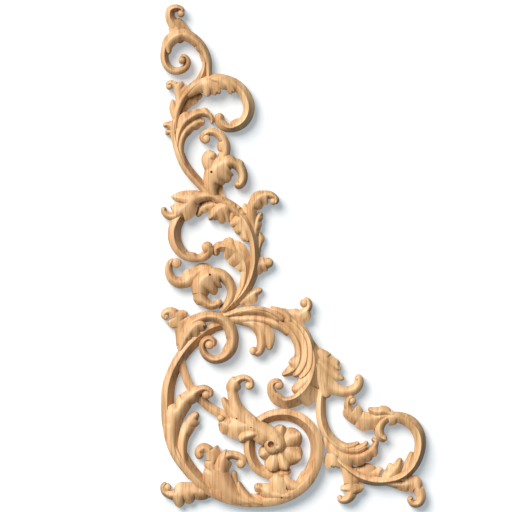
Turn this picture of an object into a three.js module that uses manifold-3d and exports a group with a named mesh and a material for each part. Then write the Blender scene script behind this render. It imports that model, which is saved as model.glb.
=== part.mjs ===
// Carved wooden corner onlay: a pierced spray of scrolled stems and acanthus leaves, cut from one board with a
// flat back. It stands upright against the face it is glued to, its front towards -Y and its back on y = 0.
import * as THREE from 'three';
import { mergeVertices } from 'three/addons/utils/BufferGeometryUtils.js';
import Module from 'manifold-3d';

const wasm = await Module();
wasm.setup();

// Driving dimensions, in millimetres
const HEIGHT = 504; // top curl to the lowest leaf
const RELIEF = 20; // flat back to the highest crest
const TIP_WIDTH = 0.8; // narrowest width that a leaf tip or a stem's end is cut to
const DRILL_DEPTH = 9; // from the highest crest down to the bottom of a drilled eye
const SAW_ALLOWANCE = 3; // wood behind the back plane, sawn off when the carving is done

// The carver's pattern sheet has x to the right and y down, and the onlay is 504 tall on it. Places and half
// widths below are in the sheet's units, and heights are shares of RELIEF.
const SHEET_HEIGHT = 504;
const SCALE = HEIGHT / SHEET_HEIGHT;
const ORIGIN = { x: 317, y: 372 }; // glue point behind the corner leaf, the part's origin
const MARGIN = 0.3; // wood left outside every line of the sheet

// How finely the curves are cut into facets
const TURN_STEP = THREE.MathUtils.degToRad(22); // turn of a stem between two stations
const LENGTH_STEP = 24; // sheet units between two stations
const STATION_GAP = 0.18; // closest that two stations lie, in knots
const SCAN_STEP = 0.05; // stride of the search for stations, in knots
const SHORTEST_EDGE = 0.2; // millimetres
const EYE_SIDES = 8;

// A leaf's lobe along its own stretch of edge: its notches lie at 0 and 1, its belly and its tip between them
const LOBE_BELLY = 0.3;
const LOBE_TIP = 0.72;
const NOTCH_DEPTH = 0.24; // how far a notch cuts in from the line of the tips towards the crest
const NOTCH_SINK = 0.72; // height of the edge at a notch, against its height at a tip

const BLUNT = TIP_WIDTH / 2 / SCALE;
const { lerp: mix, clamp } = THREE.MathUtils;

// A sheet place and a depth in millimetres, as a point of the part's frame.
function toFrame(x, y, depth) {
  return [(x - ORIGIN.x) * SCALE, -depth, (ORIGIN.y - y) * SCALE];
}

// A closed geometry as a solid.
function solidOf(geometry) {
  geometry.deleteAttribute('normal');
  geometry.deleteAttribute('uv');
  const merged = mergeVertices(geometry, 1e-4);
  return new wasm.Manifold(
    new wasm.Mesh({
      numProp: 3,
      vertProperties: merged.attributes.position.array,
      triVerts: new Uint32Array(merged.index.array),
      tolerance: SHORTEST_EDGE,
    }),
  );
}

// A plank with a cross-section on each station. A station is a row of its left edge, its crest and its right
// edge, each with a place and a height. A round plank bows between them, and another one has flat flanks.
function plank(rows, round) {
  const across = round ? [0, 0.45, 1, 1.55, 2] : [0, 1, 2];
  const box = new THREE.BoxGeometry(1, 1, 1, across.length - 1, 1, rows.length - 1);
  const place = box.attributes.position;
  for (let i = 0; i < place.count; i++) {
    const column = across[Math.round((place.getX(i) + 0.5) * (across.length - 1))];
    const row = rows[Math.round((0.5 - place.getZ(i)) * (rows.length - 1))];
    const edge = row[column < 1 ? 0 : 2];
    const share = column < 1 ? column : 2 - column;
    const rise = round ? Math.sin((share * Math.PI) / 2) : share;
    const { x, y } = edge.at.clone().lerp(row[1].at, share);
    const top = mix(edge.height, row[1].height, rise) * RELIEF;
    place.setXYZ(i, ...toFrame(x, y, place.getY(i) > 0 ? top : -SAW_ALLOWANCE));
  }
  return solidOf(box);
}

// Lobes along an edge between two knots of its stem, with their tips in order.
function lobes(from, to, tips) {
  const span = (to - from) / tips.length;
  return { from, to, span, tips: tips.map(([x, y]) => new THREE.Vector2(x, y)) };
}

// The edge of a lobed stretch at knot t: out from a notch, round the belly to the tip, and in to the next one.
function lobedEdge({ from, to, span, tips }, t, plainEdge, spineAt) {
  const k = clamp(Math.floor((t - from) / span + 1e-6), 0, tips.length - 1);
  const share = (t - from) / span - k;
  const notchAt = (j) => {
    if (j === 0 || j === tips.length) return plainEdge(from + j * span);
    return tips[j - 1].clone().lerp(tips[j], 0.5).lerp(spineAt(from + j * span), NOTCH_DEPTH);
  };
  const rising = share < LOBE_TIP;
  const part = rising ? share / LOBE_TIP : (1 - share) / (1 - LOBE_TIP);
  const notch = notchAt(rising ? k : k + 1);
  const out = tips[k].clone().sub(spineAt(from + (k + LOBE_TIP) * span)).normalize();
  const shoulder = notch.clone().addScaledVector(out, tips[k].clone().sub(notch).dot(out));
  const at = new THREE.QuadraticBezierCurve(notch, shoulder, tips[k]).getPoint(part);
  return { at, sink: mix(NOTCH_SINK, 1, part) };
}

// The spine of a stem: its course over the sheet and its half width and height, all read at a knot's number.
function spineOf(knots) {
  const last = knots.length - 1;
  const course = new THREE.CatmullRomCurve3(knots.map(([x, y]) => new THREE.Vector3(x, y, 0)));
  const sizes = new THREE.CatmullRomCurve3(
    knots.map(([, , width, height], i) => new THREE.Vector3(width + MARGIN, height, i)),
  );
  const flat = ({ x, y }) => new THREE.Vector2(x, y);
  const at = (t) => flat(course.getPoint(t / last));
  const along = (t) => flat(course.getTangent(clamp(t / last, 0.001, 0.999)));
  const bend = (t) => {
    const [before, after] = [Math.max(t - 0.1, 0), Math.min(t + 0.1, last)];
    return along(before).cross(along(after)) / at(before).distanceTo(at(after));
  };
  const size = (t) => sizes.getPoint(t / last);
  return { last, at, along, bend, width: (t) => size(t).x, height: (t) => size(t).y, endWidth: knots[last][2] };
}

// The plain edge of a stem on one side, -1 for the left and 1 for the right. It closes in to a rounded end, and
// on the inside of a bend it stays short of the centre that the stem turns about.
function plainEdgeOf(spine, side, crest) {
  return (t) => {
    const toEnd = spine.at(t).distanceTo(spine.at(spine.last));
    const inCap = t > spine.last - 1 && toEnd < spine.endWidth;
    const cap = inCap ? Math.sqrt(1 - Math.pow(1 - toEnd / spine.endWidth, 2)) : 1;
    const inside = spine.bend(t) * side > 0;
    const room = inside ? Math.max(0.9 / Math.abs(spine.bend(t)), BLUNT) : Infinity;
    const width = clamp(spine.width(t) * cap * (1 - crest * side), BLUNT, room);
    const along = spine.along(t);
    return spine.at(t).add(new THREE.Vector2(-along.y, along.x).multiplyScalar(side * width));
  };
}

// Where a stem needs its stations, in knots: at its lobes' notches, bellies and tips, where its rounded end
// begins, and wherever it has turned or run far enough since the last one.
function stationsOf(spine, groups) {
  const keys = new Set([0, spine.last]);
  for (const { from, span, tips } of groups) {
    for (let k = 0; k < tips.length; k++) {
      for (const share of [0, LOBE_BELLY, LOBE_TIP, 1]) keys.add(from + (k + share) * span);
    }
  }
  const inOrder = [...keys].sort((a, b) => a - b);
  const fixed = inOrder.filter((t, i) => !i || t - inOrder[i - 1] > STATION_GAP / 2 || t === spine.last);
  const stations = [...fixed];
  const end = spine.at(spine.last);
  let turned = 0;
  let gone = 0;
  for (let t = SCAN_STEP; t < spine.last; t += SCAN_STEP) {
    const before = t - SCAN_STEP;
    turned += Math.asin(clamp(spine.along(before).cross(spine.along(t)), -1, 1));
    gone += spine.at(t).distanceTo(spine.at(before));
    const inCap = [before, t].map((at) => spine.at(at).distanceTo(end) < spine.endWidth);
    const capBegins = inCap[1] && !inCap[0];
    const due = Math.abs(turned) > TURN_STEP || gone > LENGTH_STEP || capBegins;
    const clear = fixed.every((key) => Math.abs(key - t) >= STATION_GAP);
    const passesKey = fixed.some((key) => Math.abs(key - t) <= SCAN_STEP / 2);
    if (due && clear) stations.push(t);
    if ((due && clear) || passesKey) [turned, gone] = [0, 0];
  }
  return stations.sort((a, b) => a - b);
}

// A stem, a scroll or a leaf, through its knots [x, y, half width, height]. Its edges may carry lobes to the left
// and to the right of its travel, and their heights are shares of the crest's.
function stem(knots, { crest = 0, edges = [0.55, 0.55], left = [], right = [], round = false } = {}) {
  const spine = spineOf(knots);
  const edgeAt = (side, groups, share, t) => {
    const plainEdge = plainEdgeOf(spine, side, crest);
    const group = groups.find(({ from, to }) => t > from - 1e-6 && t < to + 1e-6);
    const { at, sink } = group ? lobedEdge(group, t, plainEdge, spine.at) : { at: plainEdge(t), sink: 1 };
    return { at, height: spine.height(t) * share * sink };
  };
  const rows = stationsOf(spine, [...left, ...right]).map((t) => [
    edgeAt(-1, left, edges[0], t),
    { at: spine.at(t), height: spine.height(t) },
    edgeAt(1, right, edges[1], t),
  ]);
  return plank(rows, round);
}

// The small boss at the middle of a curl: [x, y, radius, height].
function eye([x, y, radius, height]) {
  const r = radius * SCALE;
  const top = height * RELIEF;
  const profile = [
    [0, -SAW_ALLOWANCE],
    [r, -SAW_ALLOWANCE],
    [r, top * 0.74],
    [r * 0.5, top],
    [0, top],
  ];
  const boss = new THREE.LatheGeometry(profile.map(([px, py]) => new THREE.Vector2(px, py)), EYE_SIDES);
  boss.rotateX(Math.PI);
  boss.translate(...toFrame(x, y, 0));
  return solidOf(boss);
}

// One lobe of a leaf by itself, from its root [x, y, height] to its tip [x, y, half width, height].
function petal([x0, y0, rootHeight], [x1, y1, width, height], shape = {}) {
  const knots = [
    [x0, y0, width * 0.5, rootHeight],
    [mix(x0, x1, 0.5), mix(y0, y1, 0.5), width, mix(rootHeight, height, 0.7)],
    [x1, y1, width * 0.9, height],
  ];
  return stem(knots, shape);
}

// Several lobes from one root.
function petals(root, tips) {
  return tips.map((tip) => petal(root, tip));
}

// A stem with a steep flank on one side of its ridge, to the left or to the right of its travel
const FALLS_LEFT = { crest: 0.1, edges: [0.25, 0.62] };
const FALLS_RIGHT = { crest: -0.1, edges: [0.62, 0.25] };

// Top curl with its collar, and the first scroll
function firstScroll() {
  return [
    stem(
      [[184, 36, 7, 0.6], [177, 26, 6.5, 0.66], [170.2, 18, 4.2, 0.78], [171, 10.5, 4, 0.74],
       [176.3, 8.2, 3.5, 0.7], [180.8, 10.6, 3.6, 0.68], [181.2, 14.4, 3.4, 0.64]],
      { left: [lobes(0, 1.1, [[168.6, 28.8]])], right: [lobes(0, 1.6, [[185.6, 22.8]])] },
    ),
    stem(
      [[204, 83, 3.6, 0.6], [206.4, 69, 4, 0.7], [205.2, 56, 5.2, 0.8], [201, 46, 5.6, 0.86],
       [193, 38, 4.6, 0.88], [183, 34.5, 4.8, 0.88], [173.6, 37.6, 5.4, 0.86], [166.8, 46, 5.4, 0.82],
       [164, 56, 3.4, 0.78], [165.6, 64.4, 3.2, 0.74], [171.5, 70, 3.3, 0.72], [179, 71.3, 3.5, 0.72],
       [186, 68.4, 3.6, 0.74], [188.4, 62, 3.6, 0.76], [185.4, 57.2, 3.6, 0.78], [181, 57.4, 3.2, 0.76]],
      { left: [lobes(1.2, 4, [[199.6, 58], [193.4, 44]]), lobes(6.6, 7.8, [[171.2, 56]])] },
    ),
    eye([181.6, 60.4, 3.6, 0.8]),
  ];
}

// The second scroll, which opens to the left, with the leaves on its root and on its left
function secondScroll() {
  return [
    stem(
      [[175, 124, 3.2, 0.78], [178.3, 110, 3.4, 0.82], [183.5, 98, 4, 0.86], [191.6, 89.2, 4.6, 0.86],
       [201.4, 81.8, 4.6, 0.86], [213, 77.8, 3.6, 0.82], [225, 78.2, 3.8, 0.82], [236.8, 83.4, 4.6, 0.84],
       [244.8, 92.2, 5.4, 0.86], [248.2, 103, 5.7, 0.88], [247, 114.8, 5.6, 0.86], [240, 125, 5.4, 0.82],
       [230, 129, 3.7, 0.78], [222, 126, 4, 0.76], [217.8, 120, 4, 0.76], [218.8, 115.8, 3.4, 0.7]],
      {
        right: [
          lobes(3, 7.4, [[203.4, 93.6], [208.4, 97.6], [215.4, 95.8], [221, 94], [231.4, 94]]),
          lobes(10.9, 12.2, [[230.2, 121.6]]),
        ],
      },
    ),
    stem(
      [[178, 120, 2.4, 0.3], [186, 108, 4.6, 0.34], [196, 99.4, 4.6, 0.36], [203.4, 95.6, 3, 0.36]],
      { right: [lobes(0.4, 2.4, [[185, 115], [196.6, 105]])] },
    ),
    stem(
      [[178.5, 106, 2.4, 0.5], [180.3, 95, 3.8, 0.62], [178.6, 87.4, 4.2, 0.7], [173.4, 83.8, 3.6, 0.7],
       [168.8, 84.6, 3.4, 0.68]],
      { right: [lobes(0.3, 2.4, [[187.6, 87], [183.6, 81]])] },
    ),
    eye([168.8, 85.8, 3.8, 0.7]),
    stem([[174, 119, 2, 0.5], [172.6, 108, 3.2, 0.5], [173, 97.8, 2, 0.5]]),
    stem(
      [[178, 134, 3.4, 0.62], [170, 129.5, 4.6, 0.58], [163, 125.4, 3.8, 0.56]],
      { right: [lobes(0.6, 1.7, [[169.4, 121]])], left: [lobes(0.4, 1.8, [[170, 138], [164.4, 133.6]])] },
    ),
  ];
}

// The long stem on the left, with the two leaves that turn in from it
function leftStem() {
  return [
    stem(
      [[217.4, 199.8, 4, 0.62], [207.4, 191.8, 4.2, 0.7], [196.2, 180.4, 4.6, 0.78],
       [185.8, 167.4, 4.6, 0.82], [180, 155.4, 4.4, 0.84], [176.2, 143, 3.9, 0.84], [174, 131, 3.6, 0.82],
       [175, 119, 3, 0.8]],
      FALLS_RIGHT,
    ),
    stem(
      [[176, 136, 2.6, 0.8], [181, 122.6, 4.4, 0.84], [190.4, 116, 4.6, 0.86], [201, 113.4, 4.6, 0.84],
       [209, 115.4, 4, 0.76], [211.4, 122, 3, 0.68]],
      { left: [lobes(1, 4, [[187.6, 110], [196, 108.8], [204.6, 107.2]])] },
    ),
    stem(
      [[183, 162, 2.6, 0.7], [180, 149, 2.8, 0.78], [181.8, 139, 3.4, 0.8], [187, 130.5, 4.2, 0.78],
       [195, 124.5, 4.4, 0.7], [204.4, 121.6, 3, 0.6]],
      { right: [lobes(2.8, 4.9, [[192, 133], [200.6, 128.6]])] },
    ),
  ];
}

// The middle curl and the great domed leaf under it
function middleLeaf() {
  return [
    stem(
      [[219, 160, 6, 0.7], [224, 149, 5, 0.78], [223.8, 139.8, 4.7, 0.82], [218.8, 133.2, 4.5, 0.8],
       [211.6, 131.2, 3.6, 0.78], [205, 134, 3.9, 0.74], [203, 139.2, 3.6, 0.7]],
      { left: [lobes(0.8, 2, [[217.2, 142.6]])] },
    ),
    eye([205.4, 138.8, 4.4, 0.76]),
    stem(
      [[219, 200, 4, 0.62], [213, 187, 6, 0.82], [214.6, 175, 8.6, 0.96], [222, 165, 8.6, 1],
       [233.4, 163.2, 6.8, 0.94], [240.4, 169.8, 5, 0.88], [242.6, 177.8, 4.4, 0.82],
       [239.2, 183.4, 4.6, 0.74]],
      {
        round: true,
        left: [lobes(1.8, 3.4, [[201.8, 160.6], [204.4, 150.4], [215, 148]])],
        right: [lobes(0.8, 3, [[225.4, 184.4], [233.4, 176.6]])],
      },
    ),
    stem([[225, 202, 2.8, 0.36], [219.6, 194, 3.2, 0.34], [218.6, 186, 3.2, 0.32]]),
  ];
}

// The third scroll: the long stem on the right with the fan inside it, and the half ring on the left with its leaf
function thirdScroll() {
  return [
    stem(
      [[214, 197.5, 3.4, 0.64], [227.2, 204, 4, 0.76], [238.4, 211.2, 4.7, 0.86], [248, 221.4, 5.4, 0.9],
       [253.6, 234, 5, 0.92], [255.8, 248, 4.6, 0.92], [255.4, 262, 4.8, 0.9], [251.8, 277, 4.8, 0.86],
       [244.6, 291, 4.6, 0.8], [234.5, 302.5, 4.4, 0.72], [222, 311.6, 3.6, 0.62]],
      {
        edges: [0.6, 0.5],
        right: [
          lobes(0.3, 3, [[208.4, 220.2], [222.6, 224.8], [231.4, 222.6]]),
          lobes(3, 5, [[231.4, 226], [235, 234.8], [244.8, 241.6]]),
        ],
      },
    ),
    stem(
      [[230, 307, 3.4, 0.66], [239.6, 294.6, 4.2, 0.78], [244.8, 282.4, 4.4, 0.86],
       [245.4, 270, 4.6, 0.9], [242, 258.6, 5, 0.92], [235.4, 249.4, 6, 0.92], [226, 245, 5, 0.86],
       [218.4, 246.2, 4.4, 0.8], [215.6, 252, 3.4, 0.68]],
      {
        left: [lobes(3, 5.8, [[238.6, 271.4], [228.2, 265.4], [222.6, 257]])],
        right: [lobes(4, 6.2, [[246.4, 242], [238.6, 240.8], [229, 236.6]])],
      },
    ),
    stem(
      [[221, 199.4, 2.4, 0.6], [208, 199.2, 2.4, 0.62], [197, 201.6, 3.2, 0.66], [187.4, 208.6, 4.6, 0.7],
       [178.8, 218.4, 5.8, 0.74], [174, 230.5, 6.2, 0.8], [175.4, 243.5, 6, 0.82], [183.8, 254.6, 5, 0.8],
       [195, 259, 3.6, 0.76], [204.6, 256, 4.4, 0.76], [208.4, 250, 4.6, 0.74], [205, 245, 4.4, 0.68]],
      { ...FALLS_LEFT, left: [lobes(7, 8.2, [[193, 252]])] },
    ),
    stem(
      [[222, 200, 3, 0.66], [208, 196.6, 3.4, 0.72], [195, 199, 6, 0.78], [184.6, 206.6, 6.4, 0.8],
       [175.6, 213, 5.4, 0.78], [167, 215.6, 3.8, 0.72], [163.6, 209.6, 3.4, 0.66]],
      {
        left: [lobes(2, 4.4, [[186, 222], [174.6, 222.4]])],
        right: [lobes(0.8, 4.6, [[171.4, 196.4], [170.4, 206]])],
      },
    ),
    stem([[228, 205, 4, 0.42], [212, 206.4, 5.6, 0.42], [201, 210.6, 5.4, 0.42], [196.4, 217, 2.4, 0.42]]),
  ];
}

// The leaves on the right of the third scroll
function thirdScrollRight() {
  return [
    stem(
      [[253.6, 228, 2.6, 0.5], [251.4, 213, 4.4, 0.66], [254.2, 202, 5.8, 0.76], [261, 195.4, 5.8, 0.8],
       [269.2, 195.4, 4.2, 0.78], [275.2, 199.6, 3.4, 0.74]],
      { right: [lobes(1.6, 3.4, [[263.6, 204.6], [268, 202.4]])] },
    ),
    eye([274.2, 200.8, 3.9, 0.76]),
    ...petals([250, 220, 0.5], [[243.8, 202.8, 2.8, 0.4]]),
    ...petals([256.6, 233, 0.55], [[261.2, 213.6, 3.4, 0.5], [262.4, 236, 3.2, 0.4]]),
    ...petals([256.6, 252, 0.55], [[262.6, 238, 3.2, 0.4]]),
    ...petals([251, 271, 0.7], [[263.4, 256.8, 3, 0.45], [270, 262.6, 5, 0.62], [266.8, 270.8, 3, 0.45]]),
    ...petals([240, 305, 0.55], [[261.8, 288.8, 4.2, 0.5], [255.8, 300.2, 3, 0.42]]),
  ];
}

// The small hook and the rolled leaf above the great scroll
function rolledLeaf() {
  return [
    stem(
      [[203, 262, 5.4, 0.56], [198.5, 270, 7, 0.62], [191.5, 279, 6.4, 0.66], [183, 282.8, 5.6, 0.7],
       [175, 280, 5, 0.7], [170.4, 273, 4.2, 0.7], [170.2, 266, 3.6, 0.68], [174, 261, 3.4, 0.66]],
      { right: [lobes(1.8, 3.2, [[179, 276.4]])] },
    ),
    eye([176.8, 262.4, 5, 0.72]),
    stem(
      [[222, 311, 4, 0.66], [229.6, 300, 4.8, 0.74], [231, 288.2, 4.7, 0.8], [226, 278.4, 5.4, 0.86],
       [216, 273.6, 6.4, 0.92], [205.4, 277.4, 7.6, 0.95], [199, 287.8, 7.6, 0.92],
       [200.6, 297.4, 5.8, 0.86], [206.4, 303.6, 4.8, 0.82], [214, 305.4, 4.2, 0.78],
       [219.8, 301.4, 3.6, 0.7]],
      {
        round: true,
        left: [lobes(3.7, 6.4, [[219, 291.4], [210.4, 296]])],
        right: [lobes(6, 7.5, [[193.6, 299.8]])],
      },
    ),
  ];
}

// The great scroll: its outer band, the loop inside its shoulder and the leaf outside it
function greatScroll() {
  return [
    stem(
      [[178.6, 344, 2.4, 0.45], [179, 329, 4.6, 0.56], [178, 318.6, 6, 0.62], [173, 311.8, 4.6, 0.64],
       [166.4, 311.8, 3.7, 0.62], [163.4, 316.6, 3.6, 0.6]],
      { left: [lobes(0.8, 2.2, [[167.4, 323.4]])], right: [lobes(1, 2.8, [[192, 317.4], [187, 311.6]])] },
    ),
    stem(
      [[224, 324, 4.4, 0.4], [212, 327.6, 5.2, 0.54], [199.6, 335.4, 6.2, 0.64], [189, 345.6, 6.2, 0.72],
       [180.4, 357, 5.9, 0.78], [173, 370.6, 5.8, 0.82], [168.2, 386, 6.1, 0.84], [167, 402, 6.2, 0.84],
       [167.6, 418, 6.4, 0.84], [170.6, 433, 6.7, 0.84], [175.6, 447, 6.8, 0.84],
       [182.6, 459.4, 6.6, 0.84], [190, 470, 6.2, 0.82], [199, 480, 6, 0.8], [210.5, 489.6, 6, 0.76],
       [224, 496, 6.4, 0.7], [236, 499, 6, 0.64]],
      FALLS_LEFT,
    ),
    stem(
      [[183, 341, 5.6, 0.76], [189.4, 327, 6.4, 0.78], [198.6, 319.2, 5.2, 0.8], [210, 316.4, 4.8, 0.84],
       [221, 318.8, 5.4, 0.88], [229.4, 326.4, 6.2, 0.9], [232.4, 338, 6.2, 0.9], [230.4, 349.4, 6, 0.86],
       [223.4, 357.6, 4.8, 0.82], [214, 359.8, 4, 0.78], [206, 355.2, 4, 0.76], [202.4, 347, 3.7, 0.74],
       [205.4, 341.4, 3.8, 0.74], [210.4, 340.6, 3.4, 0.74]],
    ),
    eye([210.8, 344.4, 4.6, 0.78]),
    ...petals([181, 347, 0.76], [[201, 327, 5, 0.84], [194.6, 337.4, 3.8, 0.78]]),
  ];
}

// The ring round the flower, which is the great scroll wound in from the foot, and the leaves across its foot
function flowerRing() {
  return [
    stem(
      [[226, 497, 6.4, 0.68], [241, 500.2, 6.4, 0.68], [258, 500.8, 6.4, 0.7], [275, 498.6, 7, 0.72],
       [291, 492.4, 7.4, 0.76], [304.4, 482.6, 7.2, 0.8], [313.2, 469, 6.8, 0.82],
       [317.5, 453, 6.2, 0.82], [315.6, 437, 6.1, 0.8], [307.6, 424.4, 6, 0.76], [296, 416.4, 5.9, 0.72],
       [282, 413.9, 5.7, 0.7], [268, 416.5, 5.6, 0.68], [256.8, 424, 5.5, 0.62], [250.2, 435, 5.5, 0.62],
       [248.8, 449, 5.5, 0.62], [251.6, 460, 5.4, 0.62], [258, 468.8, 5.2, 0.6], [268, 474, 5, 0.56],
       [279, 474.2, 4.4, 0.52], [291, 470, 3, 0.46]],
      { edges: [0.5, 0.62], left: [lobes(4, 6, [[298.6, 477]])] },
    ),
    stem(
      [[303, 488, 3, 0.7], [290, 490, 5, 0.7], [277, 492, 5, 0.72], [264, 492.4, 4.4, 0.68],
       [254, 485.8, 3.4, 0.6]],
      { right: [lobes(0, 3.4, [[289.8, 475], [277, 473], [262.4, 483]])] },
    ),
    ...petals([256, 502, 0.6], [[238, 481, 3.2, 0.56]]),
  ];
}

// The great leaf on the left, turned over at its top, and the thin branch behind it
function leftLeaf() {
  return [
    stem(
      [[182, 468, 3.4, 0.8], [175, 451, 5.4, 0.86], [173, 435, 7, 0.9], [176.8, 419.6, 8, 0.94],
       [184.6, 406.6, 8.2, 0.98], [194, 395.4, 6.6, 0.94], [203.4, 390.6, 4.4, 0.9],
       [210, 393.6, 4, 0.84]],
      { edges: [0.6, 0.5], left: [lobes(2, 5.4, [[171, 403.4], [180, 395], [191, 388.8]])] },
    ),
    eye([207.2, 394.8, 4, 0.88]),
    stem(
      [[184.6, 468, 3.4, 0.7], [181.8, 452, 3.8, 0.7], [183, 437, 4.2, 0.66], [188.8, 424, 4.4, 0.6],
       [196.8, 412, 3.4, 0.5]],
      { right: [lobes(1.8, 3.6, [[198.8, 423]])] },
    ),
    stem(
      [[182, 352, 3, 0.4], [183, 369, 3.8, 0.44], [187.6, 383, 4.1, 0.46], [195.6, 395.4, 4.3, 0.44],
       [204.8, 405, 4.3, 0.42], [215.6, 412.2, 4.1, 0.42], [232, 419, 4.4, 0.42]],
    ),
  ];
}

// The leaf in the middle of the great scroll, which rolls over into the flower's head
function headLeaf() {
  return [
    stem(
      [[256, 428, 6.5, 0.8], [241, 413.8, 6.8, 0.76], [234.6, 400.6, 5.5, 0.72],
       [232.8, 389.2, 5.8, 0.72], [237, 381.4, 5.6, 0.72], [245, 379.4, 4.2, 0.72],
       [249.8, 384.6, 4, 0.68]],
      { left: [lobes(0.9, 2.5, [[222.8, 396]]), lobes(2.9, 4.4, [[232.6, 377.4]])] },
    ),
    stem(
      [[256, 424, 6, 0.86], [243, 424, 8, 0.78], [231, 427.6, 7.6, 0.66], [219.8, 426.4, 3.8, 0.5]],
      { right: [lobes(1.4, 2.8, [[217.8, 415.8]])], left: [lobes(0.9, 3, [[231.4, 440], [221.8, 435]])] },
    ),
    stem([[265, 430, 5, 0.86], [252.6, 433.4, 5, 0.9], [243, 437.4, 5.2, 0.84], [238.8, 442.4, 4.2, 0.7]]),
    stem(
      [[240, 416, 7, 0.72], [256, 427, 8.4, 0.86], [269, 434, 8.4, 0.96], [277.4, 442.4, 7.4, 1],
       [275.4, 449.6, 5, 0.98], [268.6, 449.4, 3.8, 0.94]],
      { round: true, right: [lobes(1.6, 2.8, [[257.6, 443]])] },
    ),
  ];
}

// The flower: petals of their own reach round its head
const FLOWER = { x: 277, y: 447, root: 0.62, height: 0.78, shape: { round: true, edges: [0.62, 0.62] } };
const FLOWER_PETALS = [
  { turn: 14, reach: 24, width: 8 },
  { turn: 60, reach: 28, width: 9.6 },
  { turn: 110, reach: 27.4, width: 10 },
  { turn: 150, reach: 26, width: 8.8 },
  { turn: 188, reach: 24, width: 8.6 },
  { turn: 228, reach: 22, width: 7.6 },
];

function flower() {
  return FLOWER_PETALS.map(({ turn, reach, width }) => {
    const angle = THREE.MathUtils.degToRad(turn);
    const tip = [FLOWER.x + reach * Math.sin(angle), FLOWER.y - reach * Math.cos(angle), width, FLOWER.height];
    return petal([FLOWER.x, FLOWER.y, FLOWER.root], tip, FLOWER.shape);
  });
}

// The spray of two curls that rises from the foot of the great scroll, and the leaf at its outer corner
function footSpray() {
  return [
    stem(
      [[226, 497, 5, 0.66], [217.6, 482, 6, 0.7], [213.4, 468, 6, 0.7], [211.4, 456.4, 5.2, 0.68],
       [207, 449.6, 4.6, 0.66], [201, 447.8, 3.6, 0.66], [198.8, 454.6, 4.2, 0.62]],
      { left: [lobes(0.8, 2.8, [[203.4, 466], [205.6, 462]])], right: [lobes(2, 3.8, [[217.4, 444.8]])] },
    ),
    stem(
      [[232, 500, 5, 0.7], [222.6, 485, 6, 0.84], [221, 470, 6.6, 0.9], [223.6, 459, 5.8, 0.86],
       [230.4, 454.2, 3.9, 0.8], [238.6, 454.4, 3.6, 0.76], [243.8, 460.4, 3.2, 0.74]],
      { left: [lobes(2.2, 3.6, [[226, 449.4]])], right: [lobes(1.8, 3.8, [[231.8, 463.4]])] },
    ),
    eye([241, 463.2, 4.5, 0.76]),
    stem([[244, 500, 3, 0.42], [234, 490, 3.4, 0.36], [230.6, 479, 3.2, 0.34], [233.4, 471, 2.6, 0.34]]),
    stem(
      [[212, 491, 4, 0.62], [197, 491.4, 7, 0.64], [184, 491, 8, 0.66], [174, 493.6, 5.8, 0.66],
       [166.6, 492.4, 4.1, 0.64], [164, 487.6, 3.4, 0.62], [168, 485.2, 3.6, 0.6]],
      {
        edges: [0.5, 0.5],
        right: [lobes(1.2, 3, [[177, 483.6]])],
        left: [lobes(0.4, 3.4, [[196.4, 502.8], [188.4, 504.2], [179.4, 507.6]])],
      },
    ),
  ];
}

// The arch from the junction to the corner leaf, with the leaves that stand on it and hang from it
function arch() {
  return [
    stem(
      [[216, 316, 3, 0.5], [228, 315.6, 3.4, 0.66], [240, 312.8, 4, 0.74], [254, 312.2, 4.4, 0.78],
       [268, 315.4, 4.8, 0.8], [281, 321.4, 5.4, 0.82]],
    ),
    stem(
      [[226, 318, 4, 0.5], [240, 320.4, 4.6, 0.56], [254, 320.6, 4.6, 0.58], [268, 321.8, 3.8, 0.62],
       [280.6, 327.2, 4.1, 0.7], [290, 335.6, 3.8, 0.76]],
    ),
    stem([[240, 312, 3, 0.6], [256, 309.2, 3, 0.66], [271, 310.4, 4.2, 0.76], [286, 320, 4, 0.86]]),
    stem(
      [[242, 321, 4.4, 0.5], [253, 324.8, 5, 0.56], [260.4, 334, 5.2, 0.62], [262.6, 344.6, 5.2, 0.66],
       [258, 352.4, 4.6, 0.62]],
      { left: [lobes(1.2, 3.4, [[272.4, 348]])] },
    ),
    eye([253.8, 350.8, 4.2, 0.68]),
    stem(
      [[282, 314, 5.4, 0.6], [292, 316.8, 6.2, 0.6], [301.4, 315.4, 6, 0.62], [308.2, 309, 4.4, 0.64],
       [306.4, 301.8, 4.2, 0.64]],
      { left: [lobes(0.7, 2.1, [[295.4, 308]])], right: [lobes(1, 2.8, [[309.8, 320.6]])] },
    ),
    eye([304, 302.8, 4.2, 0.68]),
  ];
}

// The corner leaf: pipes that flow down to its lobes, the scroll at its foot and the leaf on its right
const PIPE = { edges: [0.72, 0.72] };

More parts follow.
